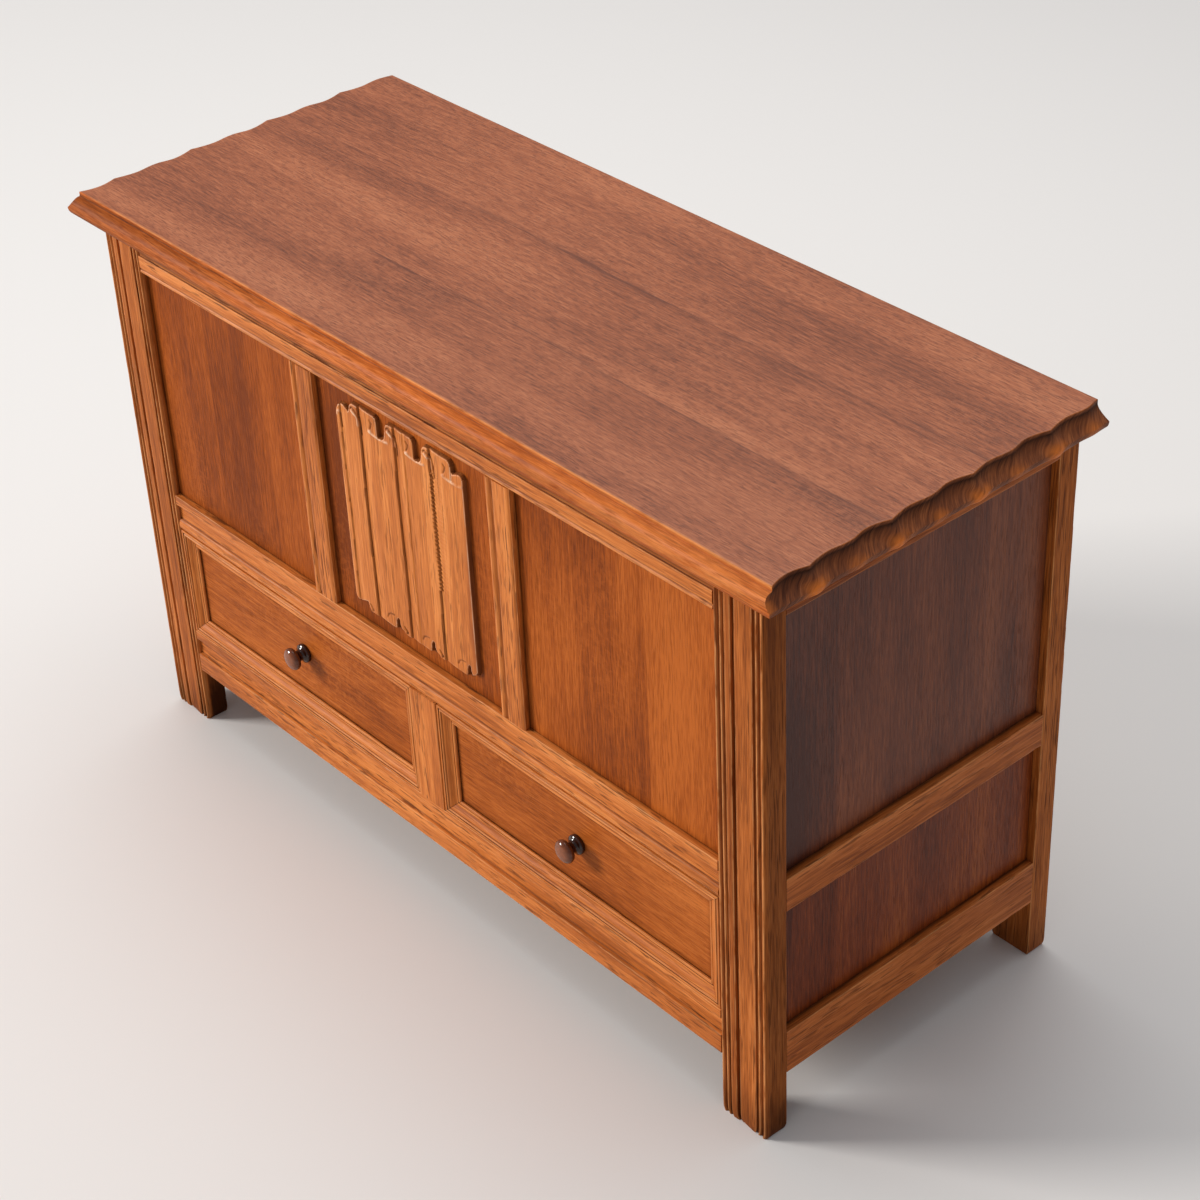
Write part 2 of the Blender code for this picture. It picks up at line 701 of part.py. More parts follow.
def drawer_runners():
    top = BOTTOM_RAIL_TOP
    low = top - RUNNER_THICK
    high = top + RUNNER_GUIDE_HEIGHT
    bars = runner_bars()
    side_y = (FRONT_LEG_BACK + FIT, BACK_LEG_FRONT - FIT)
    ledge = LEG_INNER - RUNNER_LEDGE
    wall = END_INNER - FIT
    section = [(ledge, low), (wall, low), (wall, high), (LEG_INNER, high), (LEG_INNER, top), (ledge, top)]
    for name, side in SIDES.items():
        outline = [(side * x, z) for x, z in section]
        runner = extrusion(f"drawer_runner_{name}", outline, "y", side_y, INNER_OAK)
        join(runner, *bars[name])
    guide = DRAWER_MUNTIN_WIDTH / 2
    ledge = guide + RUNNER_LEDGE
    half = [(ledge, low), (ledge, top), (guide, top), (guide, high)]
    outline = half + [(-x, z) for x, z in reversed(half)]
    y = (RAIL_BACK + FIT, Y_BACK - BACK_RAIL_THICK - FIT)
    runner = extrusion("drawer_runner_centre", outline, "y", y, INNER_OAK)
    join(runner, *bars["centre"])


# Linenfold

def arc(centre, radius, start, end):
    """Points on an arc between two angles in degrees."""
    angles = [start + (end - start) * step / ARC_STEPS for step in range(ARC_STEPS + 1)]
    return [
        (centre[0] + radius * math.cos(math.radians(a)), centre[1] + radius * math.sin(math.radians(a)))
        for a in angles
    ]


def fold_hump(left, right, base, top):
    """A low rounded hump of the cloth's top edge, run from right to left."""
    middle = (left + right) / 2
    half = (right - left) / 2
    shares = [step / CURVE_STEPS for step in range(CURVE_STEPS + 1)]
    return [
        (middle + half * math.cos(math.pi * share), base + (top - base) * math.sin(math.pi * share))
        for share in shares
    ]


def carving_limits():
    width = FOLD_LEFT_HUMP + 3 * FOLD_TAB + 2 * FOLD_NOTCH + FOLD_RIGHT_HUMP
    return spread(BAY_SHIFT, width)


def carving_outline():
    """The edge of the folded cloth: tabs and notches above, steps and notches below."""
    left, right = carving_limits()
    foot, top = CARVING_Z
    notch = top - FOLD_NOTCH_DEPTH
    hump = top - FOLD_HUMP_DROP
    pitch = FOLD_TAB + FOLD_NOTCH
    points = [(left, foot + FOOT_STEP_HEIGHT), (left + FOOT_STEP_WIDTH, foot + FOOT_STEP_HEIGHT)]
    points.append((left + FOOT_STEP_WIDTH, foot))
    for index in range(3):
        start = left + FOOT_NOTCH_START + index * pitch
        end = start + FOOT_NOTCH_WIDTH
        peak = foot + FOOT_NOTCH_HEIGHT - FOLD_SMALL_CORNER
        points.append((start, foot))
        points += arc((start + FOLD_SMALL_CORNER, peak), FOLD_SMALL_CORNER, 180, 90)
        points += arc((end - FOLD_SMALL_CORNER, peak), FOLD_SMALL_CORNER, 90, 0)
        points.append((end, foot))
    points.append((right, foot + FOOT_STEP_HEIGHT))
    shoulder = hump - FOLD_CORNER
    points += fold_hump(right - FOLD_RIGHT_HUMP, right, shoulder, hump)
    for index in reversed(range(3)):
        tab_left = left + FOLD_LEFT_HUMP + index * pitch
        tab_right = tab_left + FOLD_TAB
        points += arc((tab_right - FOLD_CORNER, top - FOLD_CORNER), FOLD_CORNER, 0, 90)
        points += arc((tab_left + FOLD_CORNER, top - FOLD_CORNER), FOLD_CORNER, 90, 180)
        if index > 0:
            low = notch + FOLD_SMALL_CORNER
            points += arc((tab_left - FOLD_SMALL_CORNER, low), FOLD_SMALL_CORNER, 0, -90)
            points += arc((tab_left - FOLD_NOTCH + FOLD_SMALL_CORNER, low), FOLD_SMALL_CORNER, -90, -180)
    points += fold_hump(left, left + FOLD_LEFT_HUMP, shoulder, hump)
    return points


def fold_section(back):
    """The face of the cloth across its width: a roll, then folds that swell and turn under."""
    at, right = carving_limits()
    widths = [*FOLD_WIDTHS, right - at - sum(FOLD_WIDTHS)]
    points = [(at, back + CARVING_THICK)]
    for fold in widths:
        for step in range(CURVE_STEPS + 1):
            share = step / CURVE_STEPS
            rise = 1 - share if fold == widths[0] else share
            swell = math.sqrt(math.sin(rise * math.pi / 2))
            thick = CARVING_LOW + (CARVING_THICK - CARVING_LOW) * swell
            points.append((at + share * fold, back - thick))
        at += fold
    points.append((at, back + CARVING_THICK))
    return points


def linenfold_carving():
    back = FRONT_PANEL_Y[0] - FIT
    carving = extrusion(
        "linenfold_carving", carving_outline(), "y", (back - 2 * CARVING_THICK, back), CARVED_OAK
    )
    z = grow(CARVING_Z, CARVING_THICK)
    folds = extrusion("linenfold_carving_folds", fold_section(back), "z", z, CARVED_OAK)
    shape(carving, folds, "INTERSECT")


# Drawers

def dovetails(low, high, shoulder, gap=0.0):
    """The tails on the front end of a drawer side, as points in Y and Z from the bottom up."""
    pitch = (high - low) / TAIL_COUNT
    end = shoulder - TAIL_LENGTH - gap
    points = []
    for index in range(TAIL_COUNT):
        centre = low + (index + 0.5) * pitch
        root = TAIL_ROOT / 2 + gap
        tip = root + TAIL_SPREAD
        points += [(shoulder, centre - root), (end, centre - tip)]
        points += [(end, centre + tip), (shoulder, centre + root)]
    return points


def moulding_section():
    """Across a drawer moulding from its outer edge inwards: face points, then the back corners."""
    depth = DRAWER_FIELD_RECESS - MOULDING_SETBACK - FIT
    low = MOULDING_OGEE_TOP + MOULDING_OGEE_FALL
    steps = [
        (MOULDING_EDGE, flat()),
        (MOULDING_OUTER_GROOVE, flat(MOULDING_BEAD_SINK)),
        (MOULDING_OUTER_BEAD, bead(MOULDING_BEAD_SINK)),
        (MOULDING_OGEE, ogee(MOULDING_OGEE_TOP, low)),
        (MOULDING_INNER_BEAD, [(share, low + sink) for share, sink in bead(MOULDING_BEAD_SINK)]),
    ]
    face = moulded(0, steps)
    return [*face, (face[-1][0], depth), (0, depth)]


def drawer_moulding(name, inward, x, z):
    """One mitred strip along an edge of a drawer front; inward points to the middle of the front."""
    onward = Vector(inward)
    depth = Vector((0, 1, 0))
    along = onward.cross(depth)
    centre = Vector((sum(x) / 2, Y_FRONT + MOULDING_SETBACK, sum(z) / 2))
    across = (x[1] - x[0]) / 2 if inward[0] else (z[1] - z[0]) / 2
    length = z[1] - z[0] if inward[0] else x[1] - x[0]
    mesh = outline_mesh(name, moulding_section(), length)
    for vertex in mesh.vertices:
        vertex.co.z -= math.copysign(vertex.co.x + FIT, vertex.co.z)
    strip = place(name, mesh, FRAME_OAK)
    turn = Matrix((onward, depth, along)).transposed()
    strip.matrix_basis = Matrix.Translation(centre - across * onward) @ turn.to_4x4()
    return strip


def knob_profile():
    """Half the section of the mushroom knob, from the tip of the head down to the spigot."""
    neck_top = KNOB_PROJECTION - KNOB_HEAD
    brim = neck_top + KNOB_HEAD * KNOB_BRIM
    dome = KNOB_PROJECTION - brim
    overhang = KNOB_HEAD_RADIUS - KNOB_NECK_RADIUS
    angles = [math.pi / 2 * step / CURVE_STEPS for step in range(CURVE_STEPS + 1)]
    points = [(KNOB_HEAD_RADIUS * math.sin(a), brim + dome * math.cos(a)) for a in angles]
    for angle in angles[1:]:
        radius = KNOB_NECK_RADIUS + overhang * math.cos(angle)
        points.append((radius, brim - (brim - neck_top) * math.sin(angle)))
    points += [(KNOB_FLANGE_RADIUS, KNOB_FLANGE), (KNOB_FLANGE_RADIUS, FIT)]
    points += [(KNOB_SPIGOT_RADIUS, FIT), (KNOB_SPIGOT_RADIUS, -KNOB_SPIGOT), (0, -KNOB_SPIGOT)]
    return points


def drawer_knob(name, x, z):
    bm = bmesh.new()
    ring = [bm.verts.new((radius, 0, height)) for radius, height in knob_profile()]
    for first, second in zip(ring, ring[1:]):
        bm.edges.new((first, second))
    section = bpy.data.meshes.new(name)
    bm.to_mesh(section)
    bm.free()
    blank = place(f"{name}_blank", section, KNOB_WOOD)
    turned = blank.modifiers.new("turned", "SCREW")
    turned.steps = ROUND_SEGMENTS
    turned.render_steps = ROUND_SEGMENTS
    turned.use_merge_vertices = True
    turned.merge_threshold = WELD
    knob = place(name, rounded(evaluated_mesh(blank)), KNOB_WOOD)
    face = Y_FRONT + DRAWER_FIELD_RECESS
    lay_along(knob, "y", (face, face), (x, 0, z))
    return knob


def drawer(side_name, side):
    name = f"drawer_{side_name}"
    x = mirrored(side, DRAWER_MUNTIN_WIDTH / 2 + DRAWER_GAP, LEG_INNER - DRAWER_GAP)
    z = (BOTTOM_RAIL_TOP + FIT, MID_RAIL_BOTTOM - DRAWER_GAP)
    field = Y_FRONT + DRAWER_FIELD_RECESS
    board_back = field + DRAWER_FRONT_THICK
    shoulder = board_back + FIT
    end = Y_FRONT + DRAWER_LENGTH
    side_top = z[0] + DRAWER_SIDE_HEIGHT
    walls = {
        "left": (x[0], x[0] + DRAWER_SIDE_THICK),
        "right": (x[1] - DRAWER_SIDE_THICK, x[1]),
    }
    housed = grow((walls["left"][1], walls["right"][0]), DRAWER_HOUSING)
    base = z[0] + DRAWER_BOTTOM_RISE
    bottom_box = (housed, (board_back - DRAWER_HOUSING, end), (base, base + DRAWER_BOTTOM_THICK))
    back_low = base + DRAWER_BOTTOM_THICK + FIT
    back_end = end - DRAWER_BACK_INSET
    back_y = (back_end - DRAWER_SIDE_THICK, back_end)
    back_box = (housed, back_y, (back_low, back_low + DRAWER_BACK_HEIGHT))

    front = block(f"{name}_front", x, (field, board_back), z, DRAWER_OAK)
    pocket(front, *bottom_box)
    comb = dovetails(z[0], side_top, shoulder, FIT)
    comb = [(end, z[0]), (shoulder, z[0]), *comb, (shoulder, side_top), (end, side_top)]
    tails = dovetails(z[0], side_top, shoulder)
    tails = [(end, z[0]), (shoulder, z[0]), *tails, (shoulder, side_top), (end, side_top)]
    pieces = [front]
    for wall, wall_x in walls.items():
        socket = extrusion(tool_name(front), comb, "x", grow(wall_x), DRAWER_OAK)
        shape(front, socket, "DIFFERENCE")
        board = extrusion(f"{name}_side_{wall}", tails, "x", wall_x, INNER_OAK)
        pocket(board, *bottom_box)
        pocket(board, *back_box)
        pieces.append(board)
    pieces.append(block(f"{name}_bottom", *bottom_box, INNER_OAK))
    pieces.append(block(f"{name}_back", *back_box, INNER_OAK))

    knob_x = sum(x) / 2 - side * KNOB_INWARD
    knob_z = sum(z) / 2 + KNOB_RISE
    hole = rod(
        tool_name(front),
        KNOB_SPIGOT_RADIUS + FIT,
        "y",
        grow((field, board_back), DRAWER_FRONT_THICK),
        (knob_x, 0, knob_z),
        DRAWER_OAK,
    )
    shape(front, hole, "DIFFERENCE")
    pieces.append(drawer_knob(f"{name}_knob", knob_x, knob_z))
    inward = {"top": (0, 0, -1), "bottom": (0, 0, 1), "left": (1, 0, 0), "right": (-1, 0, 0)}
    for edge, direction in inward.items():
        pieces.append(drawer_moulding(f"{name}_moulding_{edge}", direction, x, z))
    hang(f"{name}_slide", (knob_x, field, knob_z), pieces)


# Lid and hinges

def scallop_tips():
    """Every tip along an end: its place from the back edge and its setback."""
    tips = []
    for place_at, onward in zip(FULL_TIPS, FULL_TIPS[1:]):
        tips += [(place_at, 0.0), ((place_at + onward) / 2, SOFT_TIP_SETBACK)]
    return [*tips, (FULL_TIPS[-1], 0.0), (LID_WIDTH, 0.0)]


def scallop(start, end, from_back):
    """How far the end is cut back between two tips."""
    (start_at, start_back), (end_at, end_back) = start, end
    share = (from_back - start_at) / (end_at - start_at)
    wave = math.sin(math.pi * share)
    if (start_back if share < 0.5 else end_back):
        wave *= wave
    bite = SHALLOW_BITE if start_back else DEEP_BITE
    return start_back + share * (end_back - start_back) + bite * wave


def scallops():
    """Points along an end of the lid: place from the back edge and how far it is cut back."""
    points = []
    tips = scallop_tips()
    for start, end in zip(tips, tips[1:]):
        first = max(start[0], 0.0)
        for step in range(SCALLOP_STEPS):
            from_back = first + (end[0] - first) * step / SCALLOP_STEPS
            points.append((from_back, scallop(start, end, from_back)))
    return [*points, (LID_WIDTH, 0.0)]


def ridge(from_back):
    """How much of a carved ridge runs down the end here, from 0 to 1."""
    full = 0.0
    for tip, setback in scallop_tips()[:-1]:
        height = SOFT_RIDGE if setback else 1
        full += height * math.exp(-(((from_back - tip) / RIDGE_WIDTH) ** 2))
    return full


def end_reach(drop, tuck, from_back, cut_back):
    """How far the end stands past the tips: hollow between the ridges, full along them."""
    down = min(max((drop - LID_FILLET) / (LID_NOSE_DROP - LID_FILLET), 0), 1)
    full = ridge(from_back)
    nose = LID_NOSE - RIDGE_RELIEF * (1 - full)
    curve = full * (1 - (1 - down) ** 2) + (1 - full) * down**LID_HOLLOW
    return (nose + cut_back) * curve - cut_back - tuck


def lid_levels():
    """The moulded edge from the top down: drop below the top and reach past the top edge."""
    quarter = [math.pi / 2 * step / CURVE_STEPS for step in range(1, CURVE_STEPS + 1)]
    ledge = LID_FILLET + LID_LEDGE_FALL
    levels = [(0, 0), (LID_FILLET, 0), (ledge, LID_LEDGE)]
    for angle in quarter:
        drop = ledge + (LID_NOSE_DROP - ledge) * (1 - math.cos(angle))
        levels.append((drop, LID_LEDGE + (LID_NOSE - LID_LEDGE) * math.sin(angle)))
    for angle in quarter[1::2]:
        drop = LID_NOSE_DROP + (LID_THICK - LID_NOSE_DROP) * math.sin(angle)
        levels.append((drop, LID_NOSE - LID_UNDERCUT * (1 - math.cos(angle))))
    return levels


def lid_loop(bm, drop, reach):
    z = LID_BOTTOM + LID_THICK - drop
    tip = HALF + LID_END_OVERHANG
    tuck = LID_NOSE - reach if drop > LID_NOSE_DROP else 0
    right = [
        (tip + end_reach(drop, tuck, from_back, cut_back), LID_BACK - from_back)
        for from_back, cut_back in scallops()
    ]
    corner_x, corner_y = right[-1]
    right[-1] = (corner_x, corner_y - reach)
    ring = right + [(-x, y) for x, y in reversed(right)]
    return [bm.verts.new((x, y, z)) for x, y in ring]


def lid_board():
    bm = bmesh.new()
    loops = [lid_loop(bm, drop, reach) for drop, reach in lid_levels()]
    bm.faces.new(loops[0])
    bm.faces.new(loops[-1][::-1])
    for upper, lower in zip(loops, loops[1:]):
        for index in range(len(upper)):
            bm.faces.new((upper[index - 1], upper[index], lower[index], lower[index - 1]))
    lid = place("lid_board", mesh_of("lid_board", bm), LID_OAK)
    for side in SIDES.values():
        x, y, z = hinge_plate(side * HINGE_CENTRE, LID_BOTTOM + HINGE_LEAF_THICK)
        pocket(lid, x, (y[0], y[1] + HINGE_LEAF_DEPTH), z)
    return lid


def hinge_leaf(name, centre, top, knuckles):
    """A leaf with its knuckles, bored for the pin; knuckles are limits along X."""
    _, axis_y, axis_z = HINGE_AXIS
    x, y, z = hinge_plate(centre, top)
    leaf = block(name, x, y, z, HINGE_IRON)
    for knuckle in knuckles:
        join(leaf, knuckle, (y[0], axis_y), z)
        barrel = rod(tool_name(leaf), KNUCKLE_RADIUS, "x", knuckle, HINGE_AXIS, HINGE_IRON)
        shape(leaf, barrel, "UNION")
    bored = spread(centre, 2 * HINGE_LENGTH)
    bore = rod(tool_name(leaf), PIN_RADIUS + PIN_CLEARANCE, "x", bored, HINGE_AXIS, HINGE_IRON)
    shape(leaf, bore, "DIFFERENCE")
    return leaf


def hinge(name, side):
    centre = side * HINGE_CENTRE
    low, high = spread(centre, HINGE_LENGTH)
    outer = ((low, low + KNUCKLE_OUTER), (high - KNUCKLE_OUTER, high))
    hinge_leaf(f"hinge_carcase_leaf_{name}", centre, CARCASE_HEIGHT, outer)
    rod(f"hinge_pin_{name}", PIN_RADIUS, "x", (low, high), HINGE_AXIS, HINGE_IRON)
    middle = spread(centre, KNUCKLE_MIDDLE)
    return hinge_leaf(f"hinge_lid_leaf_{name}", centre, LID_BOTTOM + HINGE_LEAF_THICK, (middle,))


def hang(name, point, pieces):
    """Carries moving pieces on an empty that sits on their joint."""
    pivot = bpy.data.objects.new(name, None)
    PARTS.objects.link(pivot)
    pivot.location = point
    for piece in pieces:
        piece.parent = pivot
        piece.matrix_parent_inverse = Matrix.Translation(point).inverted()


clear_scene()
PARTS = new_collection("mule_chest")
CUTTERS = new_collection("cutters")
LID_OAK = material("lid_oak", (0.31, 0.107, 0.065), 0.38)
FRAME_OAK = material("frame_oak", (0.50, 0.165, 0.045), 0.42)
PANEL_OAK = material("panel_oak", (0.36, 0.090, 0.020), 0.40)
CARVED_OAK = material("carved_oak", (0.47, 0.175, 0.060), 0.50)
DRAWER_OAK = material("drawer_oak", (0.40, 0.115, 0.028), 0.40)
INNER_OAK = material("inner_oak", (0.42, 0.235, 0.105), 0.65)
KNOB_WOOD = material("knob_wood", (0.060, 0.020, 0.010), 0.30)
HINGE_IRON = material("hinge_iron", (0.080, 0.070, 0.060), 0.50, 1.0)

for side_label, direction in SIDES.items():
    front_leg(side_label, direction)
    back_leg(side_label, direction)
    front_muntin(side_label, direction)
    chest_end(side_label, direction)
    drawer(side_label, direction)
front_top_rail()
front_mid_rail()
front_bottom_rail()
drawer_muntin()
front_panels()
linenfold_carving()
chest_back()
chest_floor()
drawer_runners()
lid_leaves = [hinge(side_label, direction) for side_label, direction in SIDES.items()]
hang("lid_hinge", HINGE_AXIS, [lid_board(), *lid_leaves])
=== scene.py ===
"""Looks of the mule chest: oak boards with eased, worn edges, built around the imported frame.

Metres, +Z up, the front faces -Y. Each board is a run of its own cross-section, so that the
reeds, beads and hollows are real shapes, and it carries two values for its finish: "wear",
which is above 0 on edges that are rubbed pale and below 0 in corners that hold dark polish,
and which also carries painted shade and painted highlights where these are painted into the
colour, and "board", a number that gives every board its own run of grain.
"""

from collections import namedtuple
from functools import partial, partialmethod
from math import asin, atan2, copysign, cos, dist, exp, pi, radians, sin, tan

import bmesh
import bpy
import numpy as np
from mathutils import Matrix, Vector, noise


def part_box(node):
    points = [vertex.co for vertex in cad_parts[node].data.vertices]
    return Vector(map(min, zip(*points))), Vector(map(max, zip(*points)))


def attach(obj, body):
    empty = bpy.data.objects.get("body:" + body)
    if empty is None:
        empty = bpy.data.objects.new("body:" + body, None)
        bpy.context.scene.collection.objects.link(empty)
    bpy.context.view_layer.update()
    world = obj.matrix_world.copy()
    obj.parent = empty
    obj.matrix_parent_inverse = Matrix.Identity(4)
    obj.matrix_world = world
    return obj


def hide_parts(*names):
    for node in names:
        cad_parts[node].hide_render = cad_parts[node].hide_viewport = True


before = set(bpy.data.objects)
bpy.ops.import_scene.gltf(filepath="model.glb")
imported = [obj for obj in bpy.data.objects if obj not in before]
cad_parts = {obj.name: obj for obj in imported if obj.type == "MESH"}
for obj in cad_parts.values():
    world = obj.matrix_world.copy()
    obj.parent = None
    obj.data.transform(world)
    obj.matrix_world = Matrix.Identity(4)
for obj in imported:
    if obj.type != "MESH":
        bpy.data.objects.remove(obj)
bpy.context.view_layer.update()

SIDES = ("left", "right")

# Camera
CAMERA_PLACE = (1.82, -1.4775, 1.916)
CAMERA_TURN = radians(50.03)
CAMERA_RISE = radians(34.74)
CAMERA_ROLL = radians(-2.82)
CAMERA_LENS = 81.03

# Legs, from the left edge of the face
REED_SINK = 0.0022
LEG_EDGE_BEAD = 0.0052
LEG_FINE_GROOVE = 0.0018
LEG_BEAD = 0.004
LEG_GROOVE = 0.003
LEG_NARROW_FLAT = 0.0075
LEG_DEEP_GROOVE = 0.0048
LEG_DEEP_SINK = 0.0035
LEG_END_SHADE = 0.58  # painted shade on the side that looks round the end

# Front rails, from the lower edge of the face
TOP_BEAD = 0.0044
TOP_GROOVE = 0.0022
TOP_BAND = 0.0133
TOP_BEAD_SINK = 0.0012
TOP_SINK = 0.002
MID_BEAD = 0.012
MID_BAND = 0.0115
BOTTOM_FOOT = 0.023
BOTTOM_BAND = 0.011
RAIL_STEP = 0.0015
RAIL_SINK = 0.0043
RAIL_SHADE = 0.7  # strength of the dark line of polish and painted shade beside a panel
END_RAIL_SHADE = 0.9

# Wear, painted shade, and stretches made paler and darker, along a board: where each starts, over what
# length, how much
RIGHT_BAY_RUB = (0.16, 0.05, 0.12)
UNDER_LID_SHADE = (0.6135, 0.003, -0.75)
LID_EDGE_PALER = (0.15, 0.25, 0.25)
LID_EDGE_SHADE = (0.12, -0.62, -0.65)
MID_BAND_FOOT = 0.31
MID_BAND_BACK = -0.193  # only what lies in front of this is rubbed
TOP_BAND_BACK = -0.19  # and of this gets the painted shadow of the lid

# Muntins, from the left edge of the face
MUNTIN_BEAD = 0.009
MUNTIN_GROOVE = 0.0035
MUNTIN_SINK = 0.0022
MUNTIN_ROUND = 0.004
MUNTIN_ROUND_SINK = 0.0012

# Drawer mouldings, from the outer edge inwards
MOULDING_STEPS = (0.0025, 0.001, 0.0025, 0.009, 0.004)
MOULDING_BEAD_SINK = 0.001
MOULDING_OGEE_TOP = 0.0015
MOULDING_OGEE_LOW = 0.006

# Lid
LID_FILLET = 0.0046
LID_LEDGE = 0.0008
LID_LEDGE_FALL = 0.0005
LID_NOSE = 0.0117
LID_NOSE_DROP = 0.0172
LID_UNDERCUT = 0.0045
LID_HOLLOW = 1.8
LID_TIP = 0.5215  # tips of the scallops, from the middle of the chest
LID_TOP_FRONT = -0.2058  # top edge of the front moulding
FULL_TIPS = (-0.0305, 0.0705, 0.1715, 0.273, 0.372)
SOFT_TIP_SETBACK = 0.0022
DEEP_BITE = 0.0048
SHALLOW_BITE = 0.0034
RIDGE_WIDTH = 0.01
SOFT_RIDGE = 0.35
RIDGE_RELIEF = 0.0028
SCALLOP_STEPS = 14
LID_EDGE_STEPS = 160
LID_POINT_GAP = 0.0005  # least distance of the points of an end from the front edge
LID_CAP_WEAR = 0.35  # share of the edge's wear beside the ends of the top
HINGE_LEAF_THICK = 0.002
POCKET_RUN_OUT = 0.01  # how far the cutter of a hinge pocket stands out of the lid

# Hinge screws
SCREW_RADIUS = 0.0032
SCREW_SLOT = 0.0005  # half the width of the slot
SCREW_PROUD = 0.0001
SCREW_SINK = 0.0005
SCREW_SPACING = 0.0215
SCREW_INSET = 0.008  # from the inner edge of the leaf
SCREW_DOME = 0.86  # flat of the head, as a share of its radius
SCREW_STEPS = 14

# Linenfold carving: its outline in millimetres, that of a tab from the left edge of the tab
TAB_LEFTS = (-81.5, -24.5, 32.5)
TAB_TOP = ((44, 562), (44, 577), (43, 580.8), (39.5, 583), (6, 583), (2.6, 581.6), (0.2, 578))
TAB_NOTCH = ((-1.2, 569), (-3, 563.5), (-5.5, 561.2), (-11.2, 560.6))
TAB_FOOT = (
    (0.5, 336.2), (3, 333.6), (42.5, 333.6), (45.2, 335), (46.6, 345), (48.6, 348.4), (50.8, 347.8),
    (50.8, 342.5), (52.8, 338),
)
CLOTH_LOW_LEFT = (
    (-104.2, 347), (-103.4, 342.5), (-100, 339.8), (-95, 339.8), (-88, 342.5), (-83.8, 344), (-82.2, 341.5),
)
CLOTH_RIGHT = (
    (88, 339.2), (91.5, 341.2), (94.2, 345.5), (94.2, 569), (93, 572.2), (89, 573.6), (83, 571.8), (79, 570),
    (77.2, 571.2),
)
CLOTH_TOP_LEFT = (
    (-82.4, 573), (-84.2, 570.8), (-87, 572.5), (-91.5, 574.5), (-96, 574.5), (-100, 572.5), (-103, 568),
    (-104.2, 562),
)

# Its folds in metres, with heights in millimetres
FOLD_LINES = (-0.1042, -0.0972, -0.0672, -0.0122, 0.003, 0.0425, 0.0942)
FOLD_LOWS = (4.6, 3.2, 2.2, 2.4, 3.8, 2)
FOLD_TOP = 5
FOLD_SWELL = 0.024  # width over which a fold rises
FOLD_SHADOW = 0.0019  # width of the dark line where a fold starts
TOOTHED_FOLD = 0.0425
TEETH_FROM, TEETH_TO = 0.42, 0.556
TOOTH_LENGTH = 0.005
TOOTH_DEPTH = 0.0032
CLOTH_STEP = 0.0008  # spacing of the points of the carving
CLOTH_X = (-0.1072, 0.098)
CLOTH_Z = (0.33, 0.5862)
CLOTH_RIM = 0.0016  # rounding of the edge of the cloth
CLOTH_SINK = -0.5  # the back of the carving, inside the panel

# Knobs: place along the axis and radius, from the tip to the seat
KNOB_POINTS = (
    (0.024, 0), (0.0239, 0.003), (0.0234, 0.0062), (0.0224, 0.0092), (0.0208, 0.0116),
    (0.0188, 0.0128), (0.0168, 0.013), (0.015, 0.0122), (0.0136, 0.01), (0.0124, 0.0076),
    (0.0108, 0.0064), (0.0088, 0.0062), (0.007, 0.0068), (0.0056, 0.0084), (0.0046, 0.0104),
    (0.0038, 0.011), (0.002, 0.0111), (0.0003, 0.0109), (0.0003, 0),
)
KNOB_RADIUS = 0.013
KNOB_FACE = 0.016  # in front of this the knob is paler, with painted shade towards the rim of the head
KNOB_NECK = 0.013  # behind this it is dark
KNOB_STEPS = 48

# How boards are finished
EASE = 0.0007  # rounding of an edge
FADE = 0.0022  # how far wear reaches from an edge
RUN_STEP = 0.006  # spacing of the sections along a board
ARC_STEPS = 3
CURVE_STEPS = 8
SHARP = radians(38)
FIT = 0.0003
NEAR = 0.001  # points closer than this to a face lie on it
PANEL_DEPTH = 0.008  # how far the panels lie behind the frame
DARK_LINE = 0.0024  # width of the dark line of polish and painted shade beside a panel
POLISH_AND_SHADE_LINE = 0.0015  # the same dark line of polish and painted shade on the panels and drawer fronts
POLISH_AND_SHADE_FADE = 0.007  # where it has faded away
PANEL_POLISH_AND_SHADE = (-1, -0.9, -0.2, 0)
STRIP_WIDTH = 0.098  # strips of veneer on the panels
WAVER = 0.00012  # how far planed edges stray
MOULDING_WAVER = 0.00006
LONG_DRIFT, CROSS_DRIFT = 9, 40  # how fast they stray along a board and across it
BOARD_SHIFT = 0.37  # shift of the grain from board to board
GRAIN_SHIFTS = (3.71, 1.93, 2.37)
SEED_SHIFT = 7.31
WEAR_RADIUS = 0.0011  # a rounding as tight as this is fully worn
CHIP_SCALE = 55
CHIP_FROM = 0.28
CHIP_DEPTH = 0.0016
FOOT_PLACES = (0.0006, 0.0018, 0.0035)
FOOT_EASE = 0.0022
FOOT_RISE = 0.009


# Shaders

class Value:
    """An output socket, so that shader maths can be written as sums."""

    def __init__(self, tree, socket):
        self.tree = tree
        self.socket = socket

    def node(self, kind, settings=None, inputs=None, output=0):
        return add_node(self.tree, kind, settings, inputs, output)

    def maths(self, operation, other=0):
        return self.node("ShaderNodeMath", {"operation": operation}, {0: self, 1: other})

    __add__ = __radd__ = partialmethod(maths, "ADD")
    __sub__ = partialmethod(maths, "SUBTRACT")
    __mul__ = __rmul__ = partialmethod(maths, "MULTIPLY")
    __neg__ = partialmethod(maths, "MULTIPLY", -1)
    above = partialmethod(maths, "GREATER_THAN")
    at_least = partialmethod(maths, "MAXIMUM")
    at_most = partialmethod(maths, "MINIMUM")
    size = partialmethod(maths, "ABSOLUTE")
    floor = partialmethod(maths, "FLOOR")

    def __rsub__(self, other):
        return -self + other

    def eased(self, low, high):
        """0 below low, 1 above high, and a smooth rise between; low may be the higher one."""
        sockets = {"Value": self, "From Min": low, "From Max": high}
        return self.node("ShaderNodeMapRange", {"interpolation_type": "SMOOTHSTEP"}, sockets)


